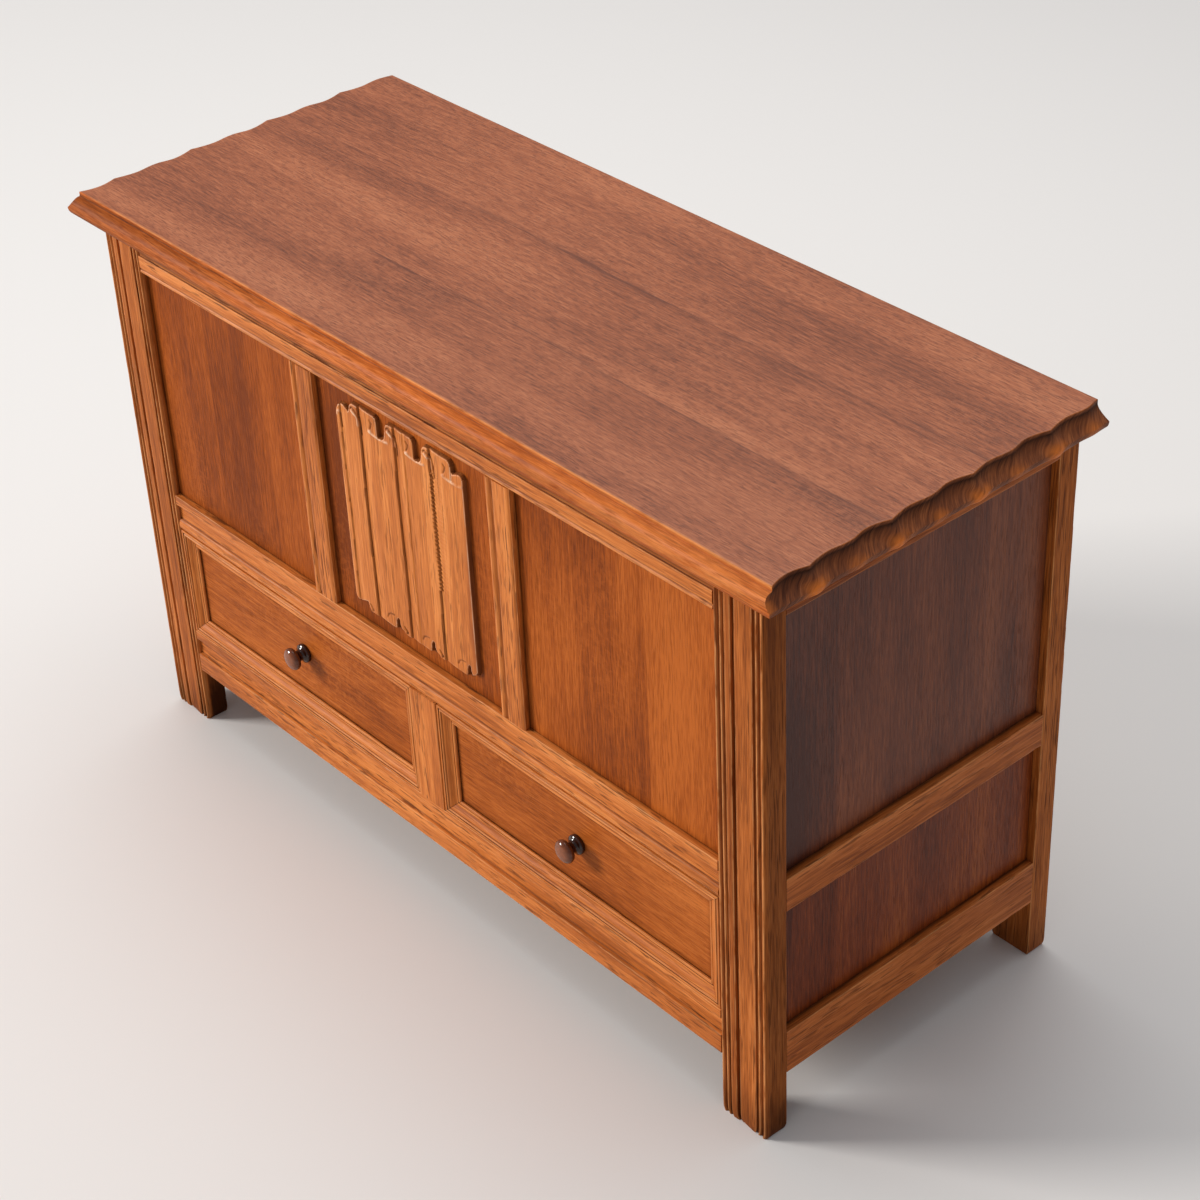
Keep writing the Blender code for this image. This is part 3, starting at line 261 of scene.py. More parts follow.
def add_node(tree, kind, settings=None, inputs=None, output=0):
    """One shader node: its settings first, then the values or links of its sockets."""
    made = tree.nodes.new(kind)
    for name, value in (settings or {}).items():
        if name == "stops":
            while len(made.color_ramp.elements) < len(value):
                made.color_ramp.elements.new(0.5)
            for element, (place, colour) in zip(made.color_ramp.elements, value):
                element.position = place
                element.color = (*colour, 1)
        else:
            setattr(made, name, value)
    for name, value in (inputs or {}).items():
        feed(tree, made, name, value)
    return Value(tree, made.outputs[output])


def feed(tree, node, name, value):
    if isinstance(value, Value):
        tree.links.new(value.socket, node.inputs[name])
    else:
        node.inputs[name].default_value = value


def new_look(name):
    """A look, its nodes and a function that sets what it shows."""
    look = bpy.data.materials.new(name)
    look.use_nodes = True
    tree = look.node_tree
    return look, tree, partial(feed, tree, tree.nodes["Principled BSDF"])


def specks(tree, scale, detail):
    """Fine noise over a piece, from 0 to 1."""
    point = add_node(tree, "ShaderNodeTexCoord", output=3)
    return point.node("ShaderNodeTexNoise", None, {"Vector": point, "Scale": scale, "Detail": detail})


def mixed(share, first, second):
    """Two colours mixed by a share that may change over the surface."""
    colours = {6: first, 7: second}
    for key, colour in colours.items():
        if not isinstance(colour, Value):
            colours[key] = (*colour, 1)
    return share.node("ShaderNodeMix", {"data_type": "RGBA"}, {0: share, **colours}, output=2)


def attribute(tree, name):
    return add_node(tree, "ShaderNodeAttribute", {"attribute_name": name}, output=2)


class Oak:
    """One run of oak: places along the grain, across it and the third way, with the board's own shift.

    A wide board is made up of several, joined along the given places in Y. lean slants the grain.
    """

    def __init__(self, name, grain, joints, lean):
        self.look, self.tree, self.feed = new_look(name)
        point = add_node(self.tree, "ShaderNodeTexCoord", output=3)
        self.axes = [point.node("ShaderNodeSeparateXYZ", None, {0: point}, axis) for axis in range(3)]
        self.straight = self.axes[0].size() + self.axes[1]
        self.wear = attribute(self.tree, "wear")
        board = attribute(self.tree, "board")
        for joint in joints:
            board = board + self.axes[1].above(joint)
        first = "xyz".index(grain)
        order = self.axes[first:] + self.axes[:first]
        along, across, depth = [axis + board * shift for axis, shift in zip(order, GRAIN_SHIFTS)]
        self.depth = depth * 0.1 if lean else depth
        self.along = along * cos(lean) + across * sin(lean)
        self.across = across * cos(lean) - along * sin(lean)
        self.across = self.across + (self.noise(2.2, 5) - 0.5) * (0.006 if lean else 0.018)

    def noise(self, long_scale, cross_scale, detail=2, rough=0.5):
        """Noise stretched by its scale along and across the grain, from 0 to 1."""
        places = {0: self.along * long_scale, 1: self.across * cross_scale, 2: self.depth * cross_scale}
        vector = self.along.node("ShaderNodeCombineXYZ", None, places)
        sockets = {"Vector": vector, "Scale": 1, "Detail": detail, "Roughness": rough}
        return vector.node("ShaderNodeTexNoise", None, sockets)


# The grain: four layers with their scales along and across it, per metre, and how much each counts, the
# scales of the dashes, how far pores keep to the dark rings, how much strips of veneer differ and where
# they start.
FIGURE_PARTS = "rings cloud streak fibre dashes zoned strips shift"
Figure = namedtuple("Figure", FIGURE_PARTS, defaults=(0.8, 0, 0))

RAIL_FIGURE = Figure((2.4, 110, 0.75), (3, 14, 0.9), (12, 420, 0.55), (40, 1300, 0.85), (34, 400))
LEG_FIGURE = Figure((1.6, 90, 0.7), (3, 14, 0.6), (12, 420, 0.7), (45, 1200, 0.7), (20, 700), 0.9)
PANEL_FIGURE = Figure((1.2, 30, 0.6), (2.6, 9, 1.3), (14, 420, 0.65), (60, 1300, 1.1), (40, 800), 0.5, 0.4,
                      807.434)
DRAWER_FIGURE = Figure((1.2, 26, 0.7), (3, 9, 1.1), (16, 420, 0.8), (60, 1300, 0.9), (40, 800), 0.5)
EDGE_FIGURE = Figure((3, 120, 0.7), (1.5, 14, 1), (22, 420, 0.75), (60, 1300, 1), (30, 600))
END_FIGURE = Figure((1.2, 22, 0.6), (2.2, 10, 1.2), (16, 420, 0.7), (60, 1300, 0.8), (50, 900), 0.5, 0.5,
                    413.959)
CUT_FIGURE = Figure((6, 60, 0.4), (3, 14, 0.4), (20, 520, 0.9), (50, 1100, 0.7), (40, 700), 0.4)
LID_FIGURE = Figure((0.8, 26, 0.45), (2.4, 15, 0.9), (30, 420, 0.8), (85, 1000, 0.9), (90, 640), 0.4)


LOOKS = {}


def oak(finish, grain, tones, figure, name=None, pores=0.6, flecks=0, worn=(0.8, 0.36, 0.13),
        worn_share=0.6, grime_and_shade=0.9, rough=0.42, gloss=0.13, foot=0, joints=(), lean=0):
    """Polished oak: rings, streaks, fibre, open pores, ray flecks, rubbed edges and painted highlights, and
    dark corners where polish gathers and shade is painted.
    """
    dark, middle, light, pore_tone = tones
    wood = Oak(name or f"{finish}_oak", grain, joints, lean)
    layers = [wood.noise(long_scale, cross_scale) for long_scale, cross_scale, _ in figure[:4]]
    rings, _, streak, fibre = layers
    tone = 0.5
    for layer, (_, _, share) in zip(layers, figure):
        tone = tone + (layer - 0.5) * share
    if figure.strips:
        strip = (wood.straight * (1 / STRIP_WIDTH) + figure.shift).floor()
        own = strip.node("ShaderNodeTexWhiteNoise", {"noise_dimensions": "1D"}, {"W": strip})
        tone = tone + (own - 0.5) * figure.strips
    stops = [(0.15, dark), (0.5, middle), (0.85, light)]
    colour = tone.node("ShaderNodeValToRGB", {"stops": stops}, {0: tone})
    dashes = wood.noise(*figure.dashes, 2, 0.45)
    zone = (rings * 0.5 + streak * 0.5).eased(0.44, 0.58)
    open_pores = dashes.eased(0.53, 0.63) * (zone * figure.zoned + (1 - figure.zoned))
    colour = mixed(open_pores * pores, colour, pore_tone)
    relief = fibre * 0.25 - open_pores
    if flecks:
        ray = wood.noise(170, 140, 2, 0.6)
        patch = wood.noise(4, 9, 1).eased(0.4, 0.62)
        ray = ray.eased(0.48, 0.6) * patch
        colour = mixed(ray * flecks, colour, light)
    for joint in joints:
        stray = (wood.noise(14, 3, 3, 0.6) - 0.5) * 0.012
        off = (wood.axes[1] - joint + stray).size()
        fades = wood.noise(5, 2, 2).eased(0.4, 0.62)
        shade = off.eased(0.0022, 0.0004) * 0.5 + off.eased(0.01, 0) * 0.35
        colour = mixed(shade * fades, colour, pore_tone)
    # Pale where wear is above 0: rubbed edges, and on the carving, lid ends and knobs also painted
    # highlights. Dark where it is below 0: polish in corners together with painted shade. With foot, darker
    # towards the floor.
    rub = wood.noise(26, 70, 3, 0.65)
    edge = wood.wear.at_least(0) * rub.eased(0.28, 0.6)
    colour = mixed((edge * worn_share).at_most(1), colour, worn)
    corner = (-wood.wear).at_least(0) * (rub * 0.6 + 0.6)
    if foot:
        corner = corner + wood.axes[2].eased(foot, 0) * (rub * 0.8 + 0.15)
    colour = mixed((corner * grime_and_shade).at_most(0.95), colour, tuple(0.18 * part for part in dark))
    wood.feed("Base Color", colour)
    smear = wood.noise(5, 9, 3)
    wood.feed("Roughness", rough + (smear - 0.5) * 0.16 + open_pores * 0.15 + corner * 0.15)
    normal = relief.node("ShaderNodeBump", None, {"Strength": 0.4, "Distance": 0.0005, "Height": relief})
    wood.feed("Normal", normal)
    wood.feed("Specular IOR Level", gloss)
    LOOKS[finish, grain] = wood.look


RAIL_TONES = ((0.24, 0.053, 0.007), (0.53, 0.146, 0.024), (0.73, 0.248, 0.058), (0.105, 0.022, 0.004))
END_RAIL_TONES = ((0.2, 0.042, 0.006), (0.47, 0.122, 0.022), (0.64, 0.205, 0.052), (0.08, 0.017, 0.004))
LEG_TONES = ((0.17, 0.038, 0.006), (0.41, 0.109, 0.019), (0.6, 0.19, 0.045), (0.07, 0.015, 0.004))
MOULDING_TONES = ((0.28, 0.062, 0.007), (0.53, 0.145, 0.022), (0.72, 0.25, 0.058), (0.15, 0.032, 0.006))
PANEL_TONES = ((0.165, 0.034, 0.006), (0.315, 0.068, 0.008), (0.47, 0.118, 0.018), (0.13, 0.026, 0.005))
# Painted shade: the end panels are darker copies of the panel oak, and the lower ones carry painted light
# bounced from the floor, warmer and lighter.
SHADED_END_TONES = ((0.07, 0.014, 0.005), (0.165, 0.038, 0.012), (0.27, 0.073, 0.022), (0.06, 0.013, 0.004))
FLOOR_LIT_END_TONES = ((0.08, 0.0125, 0.002), (0.205, 0.036, 0.005), (0.35, 0.082, 0.013), (0.06, 0.011, 0.002))
CARVED_TONES = ((0.31, 0.074, 0.011), (0.555, 0.16, 0.028), (0.73, 0.255, 0.062), (0.15, 0.034, 0.007))
DRAWER_TONES = ((0.19, 0.04, 0.006), (0.385, 0.092, 0.013), (0.54, 0.155, 0.03), (0.15, 0.032, 0.005))
LID_TONES = ((0.155, 0.04, 0.014), (0.33, 0.094, 0.035), (0.465, 0.158, 0.066), (0.13, 0.034, 0.014))
EDGE_TONES = ((0.24, 0.044, 0.005), (0.455, 0.106, 0.016), (0.64, 0.18, 0.04), (0.12, 0.023, 0.004))
CUT_TONES = ((0.085, 0.022, 0.008), (0.225, 0.064, 0.021), (0.38, 0.12, 0.038), (0.05, 0.014, 0.006))
INNER_TONES = ((0.28, 0.125, 0.045), (0.43, 0.22, 0.09), (0.53, 0.295, 0.135), (0.16, 0.068, 0.026))

WORN = (0.82, 0.39, 0.15)

for way in "xz":
    oak("frame", way, RAIL_TONES, RAIL_FIGURE, f"rail_oak_along_{way}", pores=0.75, foot=0.05, worn=WORN,
        worn_share=0.5)
    oak("moulding", way, MOULDING_TONES, LEG_FIGURE, f"moulding_oak_along_{way}", worn_share=0.45)
for way in "xyz":
    oak("inner", way, INNER_TONES, RAIL_FIGURE, f"bare_oak_along_{way}", pores=0.4, rough=0.62,
        worn=(0.6, 0.42, 0.25))
oak("frame", "y", END_RAIL_TONES, RAIL_FIGURE, "end_rail_oak", pores=0.62, foot=0.05, worn=WORN,
    worn_share=0.5)
oak("leg", "z", LEG_TONES, LEG_FIGURE, pores=0.7, foot=0.07, worn_share=0.75, grime_and_shade=0.75, gloss=0.06)
oak("panel", "z", PANEL_TONES, PANEL_FIGURE, pores=0.4, flecks=0.25, rough=0.45, gloss=0.05)
# End panels with painted shade, the lower ones with painted floor light.
oak("end_panel", "z", SHADED_END_TONES, END_FIGURE, pores=0.35, rough=0.36, gloss=0.3)
oak("low_end_panel", "z", FLOOR_LIT_END_TONES, END_FIGURE, pores=0.35, rough=0.36, gloss=0.2)
# Pale rims of the carving: rubbed edges with painted highlights.
oak("carved", "z", CARVED_TONES, RAIL_FIGURE, pores=0.55, worn=(0.88, 0.58, 0.38), worn_share=0.9, grime_and_shade=0.75)
oak("drawer", "x", DRAWER_TONES, DRAWER_FIGURE, pores=0.4, flecks=0.3, rough=0.45, gloss=0.06)
oak("lid", "x", LID_TONES, LID_FIGURE, pores=0.5, flecks=0.22, gloss=0.4, worn=(0.66, 0.235, 0.07),
    joints=(-0.07, 0.063))
oak("lid_edge", "x", EDGE_TONES, EDGE_FIGURE, pores=0.55, worn=(0.82, 0.33, 0.1), worn_share=0.5, gloss=0.07)
oak("lid_end", "y", CUT_TONES, CUT_FIGURE, pores=0.4, worn=(0.76, 0.2, 0.03), worn_share=1,
    lean=radians(40))


def knob_look():
    look, tree, give = new_look("knob_polish")
    cloud = specks(tree, 180, 3)
    wear = attribute(tree, "wear")
    colour = mixed(cloud.eased(0.35, 0.7), (0.045, 0.012, 0.005), (0.08, 0.022, 0.01))
    # Paler on the face of the head, with painted shade towards its rim, and dark behind the head.
    colour = mixed((wear.at_least(0) * (cloud * 0.6 + 0.4)).at_most(1), colour, (0.3, 0.085, 0.027))
    colour = mixed(((-wear).at_least(0) * 0.8).at_most(1), colour, (0.016, 0.004, 0.002))
    give("Base Color", colour)
    give("Roughness", cloud * 0.08 + 0.08)
    give("Specular IOR Level", 0.45)
    return look


def iron_look(name, bare):
    look, tree, give = new_look(name)
    rust = specks(tree, 240, 4)
    give("Base Color", mixed(rust.eased(0.45, 0.7), bare, (0.15, 0.075, 0.04)))
    give("Metallic", 1 - rust.eased(0.45, 0.7))
    give("Roughness", rust * 0.35 + 0.3)
    return look


LOOKS["knob"] = knob_look()
LOOKS["iron"] = iron_look("hinge_iron", (0.085, 0.08, 0.075))
LOOKS["screw"] = iron_look("screw_steel", (0.3, 0.28, 0.25))


# Cross-sections: closed outlines of points

def bead(sink, steps=CURVE_STEPS):
    return [(i / steps, sink * (1 - sin(pi * i / steps))) for i in range(steps + 1)]


def step_between(start, end, steps=4):
    shares = [i / steps for i in range(steps + 1)]
    return [(share, start + (end - start) * (1 - cos(pi * share)) / 2) for share in shares]


def flat(depth=0):
    return [(0, depth), (1, depth)]


def moulded(start, steps, total=0):
    """Points across a moulded face as (place, depth), from widths and the curve over each.

    A width of 0 takes what the others leave of the total.
    """
    rest = total - sum(width for width, _ in steps)
    points = []
    at = start
    for width, curve in steps:
        for share, depth in curve:
            point = (at + share * (width or rest), depth)
            if not points or dist(point, points[-1]) > 1e-6:
                points.append(point)
        at += width or rest
    return points


def rounded(outline):
    """The outline with its sharp corners rounded and points set beside them, where wear ends."""
    points = []
    count = len(outline)
    for index in range(count):
        corner = Vector(outline[index])
        before = Vector(outline[index - 1]) - corner
        after = Vector(outline[(index + 1) % count]) - corner
        turn = pi - before.angle(after)
        if turn < radians(40):
            points.append(corner)
            continue
        reach = min(EASE * tan(turn / 2), 0.4 * before.length, 0.4 * after.length)
        start = corner + before.normalized() * reach
        end = corner + after.normalized() * reach
        for step in range(ARC_STEPS + 1):
            share = step / ARC_STEPS
            first = start.lerp(corner, share)
            points.append(first.lerp(corner.lerp(end, share), share))
    spaced = []
    for point, onward in zip(points, points[1:] + points[:1]):
        spaced.append(point)
        length = (onward - point).length
        if length > 2.5 * FADE:
            spaced.append(point.lerp(onward, FADE / length))
            spaced.append(point.lerp(onward, 1 - FADE / length))
    return spaced


def edge_wear(points):
    """How much each point of an outline stands out (above 0) or lies in a corner (below 0)."""
    area = sum(a.x * b.y - b.x * a.y for a, b in zip(points, points[1:] + points[:1]))
    way = 1 if area > 0 else -1
    worn = []
    for index, point in enumerate(points):
        before = point - points[index - 1]
        after = points[(index + 1) % len(points)] - point
        turn = atan2(before.x * after.y - before.y * after.x, before.dot(after)) * way
        span = min(before.length, FADE) + min(after.length, FADE)
        worn.append(max(-1, min(1, 2 * turn / span * WEAR_RADIUS)))
    return worn


# Boards

MADE = []  # the node that each piece so far stands for


def show(name, data):
    """Puts an object with the given data into the scene."""
    made = bpy.data.objects.new(name, data)
    bpy.context.scene.collection.objects.link(made)
    return made


def ramp(value, start, length, height=1):
    """0 up to the start, then a straight rise to the height; a length below 0 runs the other way."""
    return height * min(max((value - start) / length, 0), 1)


def new_form():
    """An empty form whose points carry wear."""
    bm = bmesh.new()
    bm.verts.layers.float.new("wear")
    return bm


def add_point(bm, place, wear):
    vertex = bm.verts.new(place)
    vertex[bm.verts.layers.float["wear"]] = wear
    return vertex


def skin(bm, rings):
    """Faces between each closed ring of points and the next."""
    faces = []
    for first, second in zip(rings, rings[1:]):
        for index in range(len(first)):
            faces.append(bm.faces.new((first[index - 1], first[index], second[index], second[index - 1])))
    return faces


def mesh_of(bm, name, turn=True):
    """The mesh of a form, its faces turned outwards unless they lie right already."""
    if turn:
        bmesh.ops.recalc_face_normals(bm, faces=bm.faces)
    mesh = bpy.data.meshes.new(name)
    bm.to_mesh(mesh)
    bm.free()
    return mesh


def put_up(mesh, node, looks, body="carcase", sharp=SHARP):
    """Makes a piece with its own run of grain, lets it stand for its node and hangs it on its body."""
    board = mesh.attributes.new("board", "FLOAT", "POINT")
    board.data.foreach_set("value", [BOARD_SHIFT * len(MADE)] * len(mesh.vertices))
    MADE.append(node)
    for look in looks:
        mesh.materials.append(look)
    mesh.shade_smooth()
    mesh.set_sharp_from_angle(angle=sharp)
    piece = show(mesh.name, mesh)
    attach(piece, body)
    if node:
        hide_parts(node)


def turned(axis, along, u, v):
    """A point of a section put into the chest: that of a board along X lies in Y and Z, and so on."""
    return {"x": (along, u, v), "y": (u, along, v), "z": (u, v, along)}[axis]


def chip(place, seed, worn):
    """How far an edge is knocked back here."""
    hit = noise.noise(place * CHIP_SCALE + Vector((seed, 0, 0))) - CHIP_FROM
    return max(0, hit) * CHIP_DEPTH * max(0, worn)


def run(node, outline, axis, limits, finish, body="carcase", wobble=WAVER, mitre=None,
        shade=None, rubbed=None):
    """A board with the given section, in short lengths that waver as hand-planed edges do.

    shade tells how dark a point of the section is, where polish gathers, and
    rubbed gives a place any wear that its section alone would not have.
    """
    points = rounded(outline)
    worn = edge_wear(points)
    if shade:
        worn = [wear - shade(point) for wear, point in zip(worn, points)]
    middle = sum(points, Vector((0, 0))) / len(points)
    low, high = limits
    count = max(2, round((high - low) / RUN_STEP))
    places = [low + (high - low) * step / count for step in range(count + 1)]
    if low == 0:
        places[1:1] = FOOT_PLACES
    seed = SEED_SHIFT * len(MADE)
    bm = new_form()
    rings = []
    for place in places:
        ring = []
        for point, wear in zip(points, worn):
            along = mitre(point, (place - low) / (high - low)) if mitre else place
            drift = Vector((along * LONG_DRIFT, point.x * CROSS_DRIFT, point.y * CROSS_DRIFT + seed))
            spot = Vector(turned(axis, along, *point))
            foot = FOOT_EASE * max(0, 1 - along / FOOT_RISE) ** 2 if axis == "z" else 0
            inward = chip(spot, seed, wear) + noise.noise(drift) * wobble + foot
            moved = point + (middle - point).normalized() * inward
            wear += rubbed(spot) if rubbed else 0
            ring.append(add_point(bm, turned(axis, along, *moved), wear))
        rings.append(ring)
    skin(bm, rings)
    bm.faces.new(rings[0])
    bm.faces.new(rings[-1][::-1])
    put_up(mesh_of(bm, f"{node}_oak"), node, [LOOKS[finish, axis]], body)


def square(u, v):
    return [(u[0], v[0]), (u[1], v[0]), (u[1], v[1]), (u[0], v[1])]


def box_of(node):
    low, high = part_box(node)
    return [(low[i], high[i]) for i in range(3)]


def between(axis, first, second, gap=0):
    """The space from one piece to the next along an axis."""
    return box_of(first)[axis][1] + gap, box_of(second)[axis][0] - gap


# Frame

def moulded_outline(across, y, steps):
    """The section of a board with a moulded front, and with points where the panels meet its sides."""
    low, high = across
    meets = y[0] + PANEL_DEPTH
    near = meets - DARK_LINE
    front = [(at, y[0] + depth) for at, depth in moulded(low, steps, high - low)]
    return front + [(high, near), (high, meets), (high, y[1]), (low, y[1]), (low, meets), (low, near)]


def corner_shade(depth):
    """A dark line of polish and painted shade beside the panel, at the given depth behind the face of the
    frame.
    """
    return ramp(depth, PANEL_DEPTH - DARK_LINE, DARK_LINE)


def leg_shade(point, x, y):
    """Painted shade of a front leg: all over the side that looks round the end, and a dark line of polish and
    painted shade beside the panel.
    """
    towards_end = abs(point.x - max(x, key=abs)) < NEAR
    return LEG_END_SHADE if towards_end else corner_shade(point.y - y[0])


def front_legs():
    reeds = [
        (LEG_EDGE_BEAD, bead(REED_SINK)),
        (LEG_FINE_GROOVE, flat(REED_SINK)),
        (LEG_BEAD, bead(REED_SINK)),
        (LEG_GROOVE, flat(REED_SINK)),
    ]
    middle = [(LEG_NARROW_FLAT, flat()), (LEG_DEEP_GROOVE, flat(LEG_DEEP_SINK)), (0, flat())]
    for side in SIDES:
        x, y, z = box_of(f"front_leg_{side}")
        outline = moulded_outline(x, y, reeds + middle + reeds[::-1])
        run(f"front_leg_{side}", outline, "z", z, "leg", shade=lambda point: leg_shade(point, x, y))


def back_legs():
    for side in SIDES:
        x, y, z = box_of(f"back_leg_{side}")
        run(f"back_leg_{side}", square(x, y), "z", z, "leg")


def front_rail(level, steps, rubbed=None):
    """A front rail between the legs, its moulding from the lower edge up."""
    _, y, z = box_of(f"front_{level}_rail")
    reach = box_of("front_leg_right")[0][0] - FIT
    outline = [(v, u) for u, v in moulded_outline(z, y, steps)]
    run(f"front_{level}_rail", outline, "x", (-reach, reach), "frame",
        shade=lambda point: RAIL_SHADE * corner_shade(point.x - y[0]), rubbed=rubbed)


def rub_right_bay(spot):
    """The upper band of the middle rail is rubbed pale in the right bay."""
    if spot.z < MID_BAND_FOOT or spot.y > MID_BAND_BACK:
        return 0
    return ramp(spot.x, *RIGHT_BAY_RUB)


def shade_under_lid(spot):
    """Painted shadow of the lid on the top rail, close under the lid."""
    return 0 if spot.y > TOP_BAND_BACK else ramp(spot.z, *UNDER_LID_SHADE)


def sunk_band(start):
    """A sunk band between two curved steps, the first of them from the given depth."""
    down, up = step_between(start, RAIL_SINK), step_between(RAIL_SINK, 0)
    return [(RAIL_STEP, down), (0, flat(RAIL_SINK)), (RAIL_STEP, up)]


def front_rails():
    front_rail("top", [
        (TOP_BEAD, bead(TOP_BEAD_SINK)),
        (TOP_GROOVE, flat(TOP_BEAD_SINK)),
        (TOP_BAND, flat()),
        (0, flat(TOP_SINK)),
    ], shade_under_lid)
    bead_step = (MID_BEAD, bead(TOP_SINK))
    front_rail("mid", [bead_step, *sunk_band(TOP_SINK), (MID_BAND, flat())], rub_right_bay)
    front_rail("bottom", [(BOTTOM_FOOT, flat()), *sunk_band(0), (BOTTOM_BAND, flat())])


def muntins():
    z = between(2, "front_mid_rail", "front_top_rail", FIT)
    steps = [
        (MUNTIN_BEAD, bead(MUNTIN_SINK)),
        (MUNTIN_GROOVE, flat(MUNTIN_SINK)),
        (0, flat()),
        (MUNTIN_ROUND, step_between(0, MUNTIN_ROUND_SINK)),
    ]
    for side in SIDES:
        x, y, _ = box_of(f"front_muntin_{side}")
        run(f"front_muntin_{side}", moulded_outline(x, y, steps), "z", z, "frame",
            shade=lambda point: corner_shade(point.y - y[0]))
    x, y, _ = box_of("drawer_muntin")
    z = between(2, "front_bottom_rail", "front_mid_rail", FIT)
    run("drawer_muntin", square(x, y), "z", z, "frame")


def end_rails():
    y = between(1, "front_leg_left", "back_leg_left", FIT)
    for side in SIDES:
        for level in ("top", "mid", "bottom"):
            node = f"end_{level}_rail_{side}"
            x, _, z = box_of(node)
            out = max(x, key=abs)
            meets = copysign(abs(out) - PANEL_DEPTH, out)
            near = copysign(abs(out) - PANEL_DEPTH + DARK_LINE, out)
            cross = sorted((*x, meets, near))
            outline = [(at, z[0]) for at in cross] + [(at, z[1]) for at in cross[::-1]]
            run(node, outline, "y", y, "frame",
                shade=lambda point: END_RAIL_SHADE * corner_shade(abs(out) - abs(point.x)))


# Panels

def panel(node, axis, face_first, opening, finish):
    """A flat board in a frame, bare behind; its face is divided where the frame starts and where dark polish
    and painted shade gather.
    """
    limits = box_of(node)
    u_axis, v_axis = [i for i in range(3) if i != axis]
    near, far = limits[axis] if face_first else limits[axis][::-1]
    lines = []
    for index, (low, high) in zip((u_axis, v_axis), opening):
        inner = [low, low + POLISH_AND_SHADE_LINE, low + POLISH_AND_SHADE_FADE, high - POLISH_AND_SHADE_FADE, high - POLISH_AND_SHADE_LINE, high]
        lines.append([limits[index][0], *inner, limits[index][1]])
    last = len(lines[0]) - 1
    bm = new_form()
    grid = []
    for i, u in enumerate(lines[0]):
        row = []
        for j, v in enumerate(lines[1]):
            point = [0, 0, 0]
            point[axis], point[u_axis], point[v_axis] = near, u, v
            row.append(add_point(bm, point, PANEL_POLISH_AND_SHADE[min(i, j, last - i, last - j)]))
        grid.append(row)
    for first, second in zip(grid, grid[1:]):
        for index in range(last):
            bm.faces.new((first[index], second[index], second[index + 1], first[index + 1]))
    rim = grid[0] + [row[-1] for row in grid[1:]] + grid[-1][-2::-1] + [row[0] for row in grid[-2:0:-1]]
    behind = []
    for vertex in rim:
        point = vertex.co.copy()
        point[axis] = far
        behind.append(add_point(bm, point, 0))
    skin(bm, [rim, behind])
    bm.faces.new(behind).material_index = 1
    looks = [LOOKS[finish, "z"], LOOKS["inner", "z"]]
    put_up(mesh_of(bm, f"{node}_oak"), node, looks, sharp=radians(20))


def front_panels():
    z = between(2, "front_mid_rail", "front_top_rail")
    uprights = ("front_leg_left", "front_muntin_left", "front_muntin_right", "front_leg_right")
    for bay, left, right in zip(("left", "centre", "right"), uprights, uprights[1:]):
        panel(f"front_panel_{bay}", 1, True, (between(0, left, right), z), "panel")


def end_panels():
    y = between(1, "front_leg_left", "back_leg_left")
    levels = (("upper", "mid", "top", "end_panel"), ("lower", "bottom", "mid", "low_end_panel"))
    for side in SIDES:
        for level, below, above, finish in levels:
            z = between(2, f"end_{below}_rail_{side}", f"end_{above}_rail_{side}")
            panel(f"end_{level}_panel_{side}", 0, side == "left", (y, z), finish)


# Lid

def scallop_tips(width):
    """Every tip along an end of the lid: its place from the back edge and its setback."""
    tips = []
    for spot, onward in zip(FULL_TIPS, FULL_TIPS[1:]):
        tips += [(spot, 0), ((spot + onward) / 2, SOFT_TIP_SETBACK)]
    return [*tips, (FULL_TIPS[-1], 0), (width, 0)]


TIPS = scallop_tips(box_of("lid_board")[1][1] - LID_TOP_FRONT)


def scallop(start, end, from_back):
    (start_at, start_back), (end_at, end_back) = start, end
    share = (from_back - start_at) / (end_at - start_at)
    wave = sin(pi * share)
    if (start_back if share < 0.5 else end_back):
        wave *= wave
    bite = SHALLOW_BITE if start_back else DEEP_BITE
    return start_back + share * (end_back - start_back) + bite * wave


def scallops(steps):
    points = []
    for start, end in zip(TIPS, TIPS[1:]):
        first = max(start[0], 0)
        for step in range(steps):
            from_back = first + (end[0] - first) * step / steps
            points.append((from_back, scallop(start, end, from_back)))
    return [*points, (TIPS[-1][0], 0)]


def ridge(from_back):
    full = 0
    for tip, setback in TIPS[:-1]:
        height = SOFT_RIDGE if setback else 1
        full += height * exp(-(((from_back - tip) / RIDGE_WIDTH) ** 2))
    return full


def end_reach(drop, tuck, from_back, cut_back):
    down = ramp(drop, LID_FILLET, LID_NOSE_DROP - LID_FILLET)
    full = ridge(from_back)
    nose = LID_NOSE - RIDGE_RELIEF * (1 - full)
    curve = full * (1 - (1 - down) ** 2) + (1 - full) * down**LID_HOLLOW
    return (nose + cut_back) * curve - cut_back - tuck


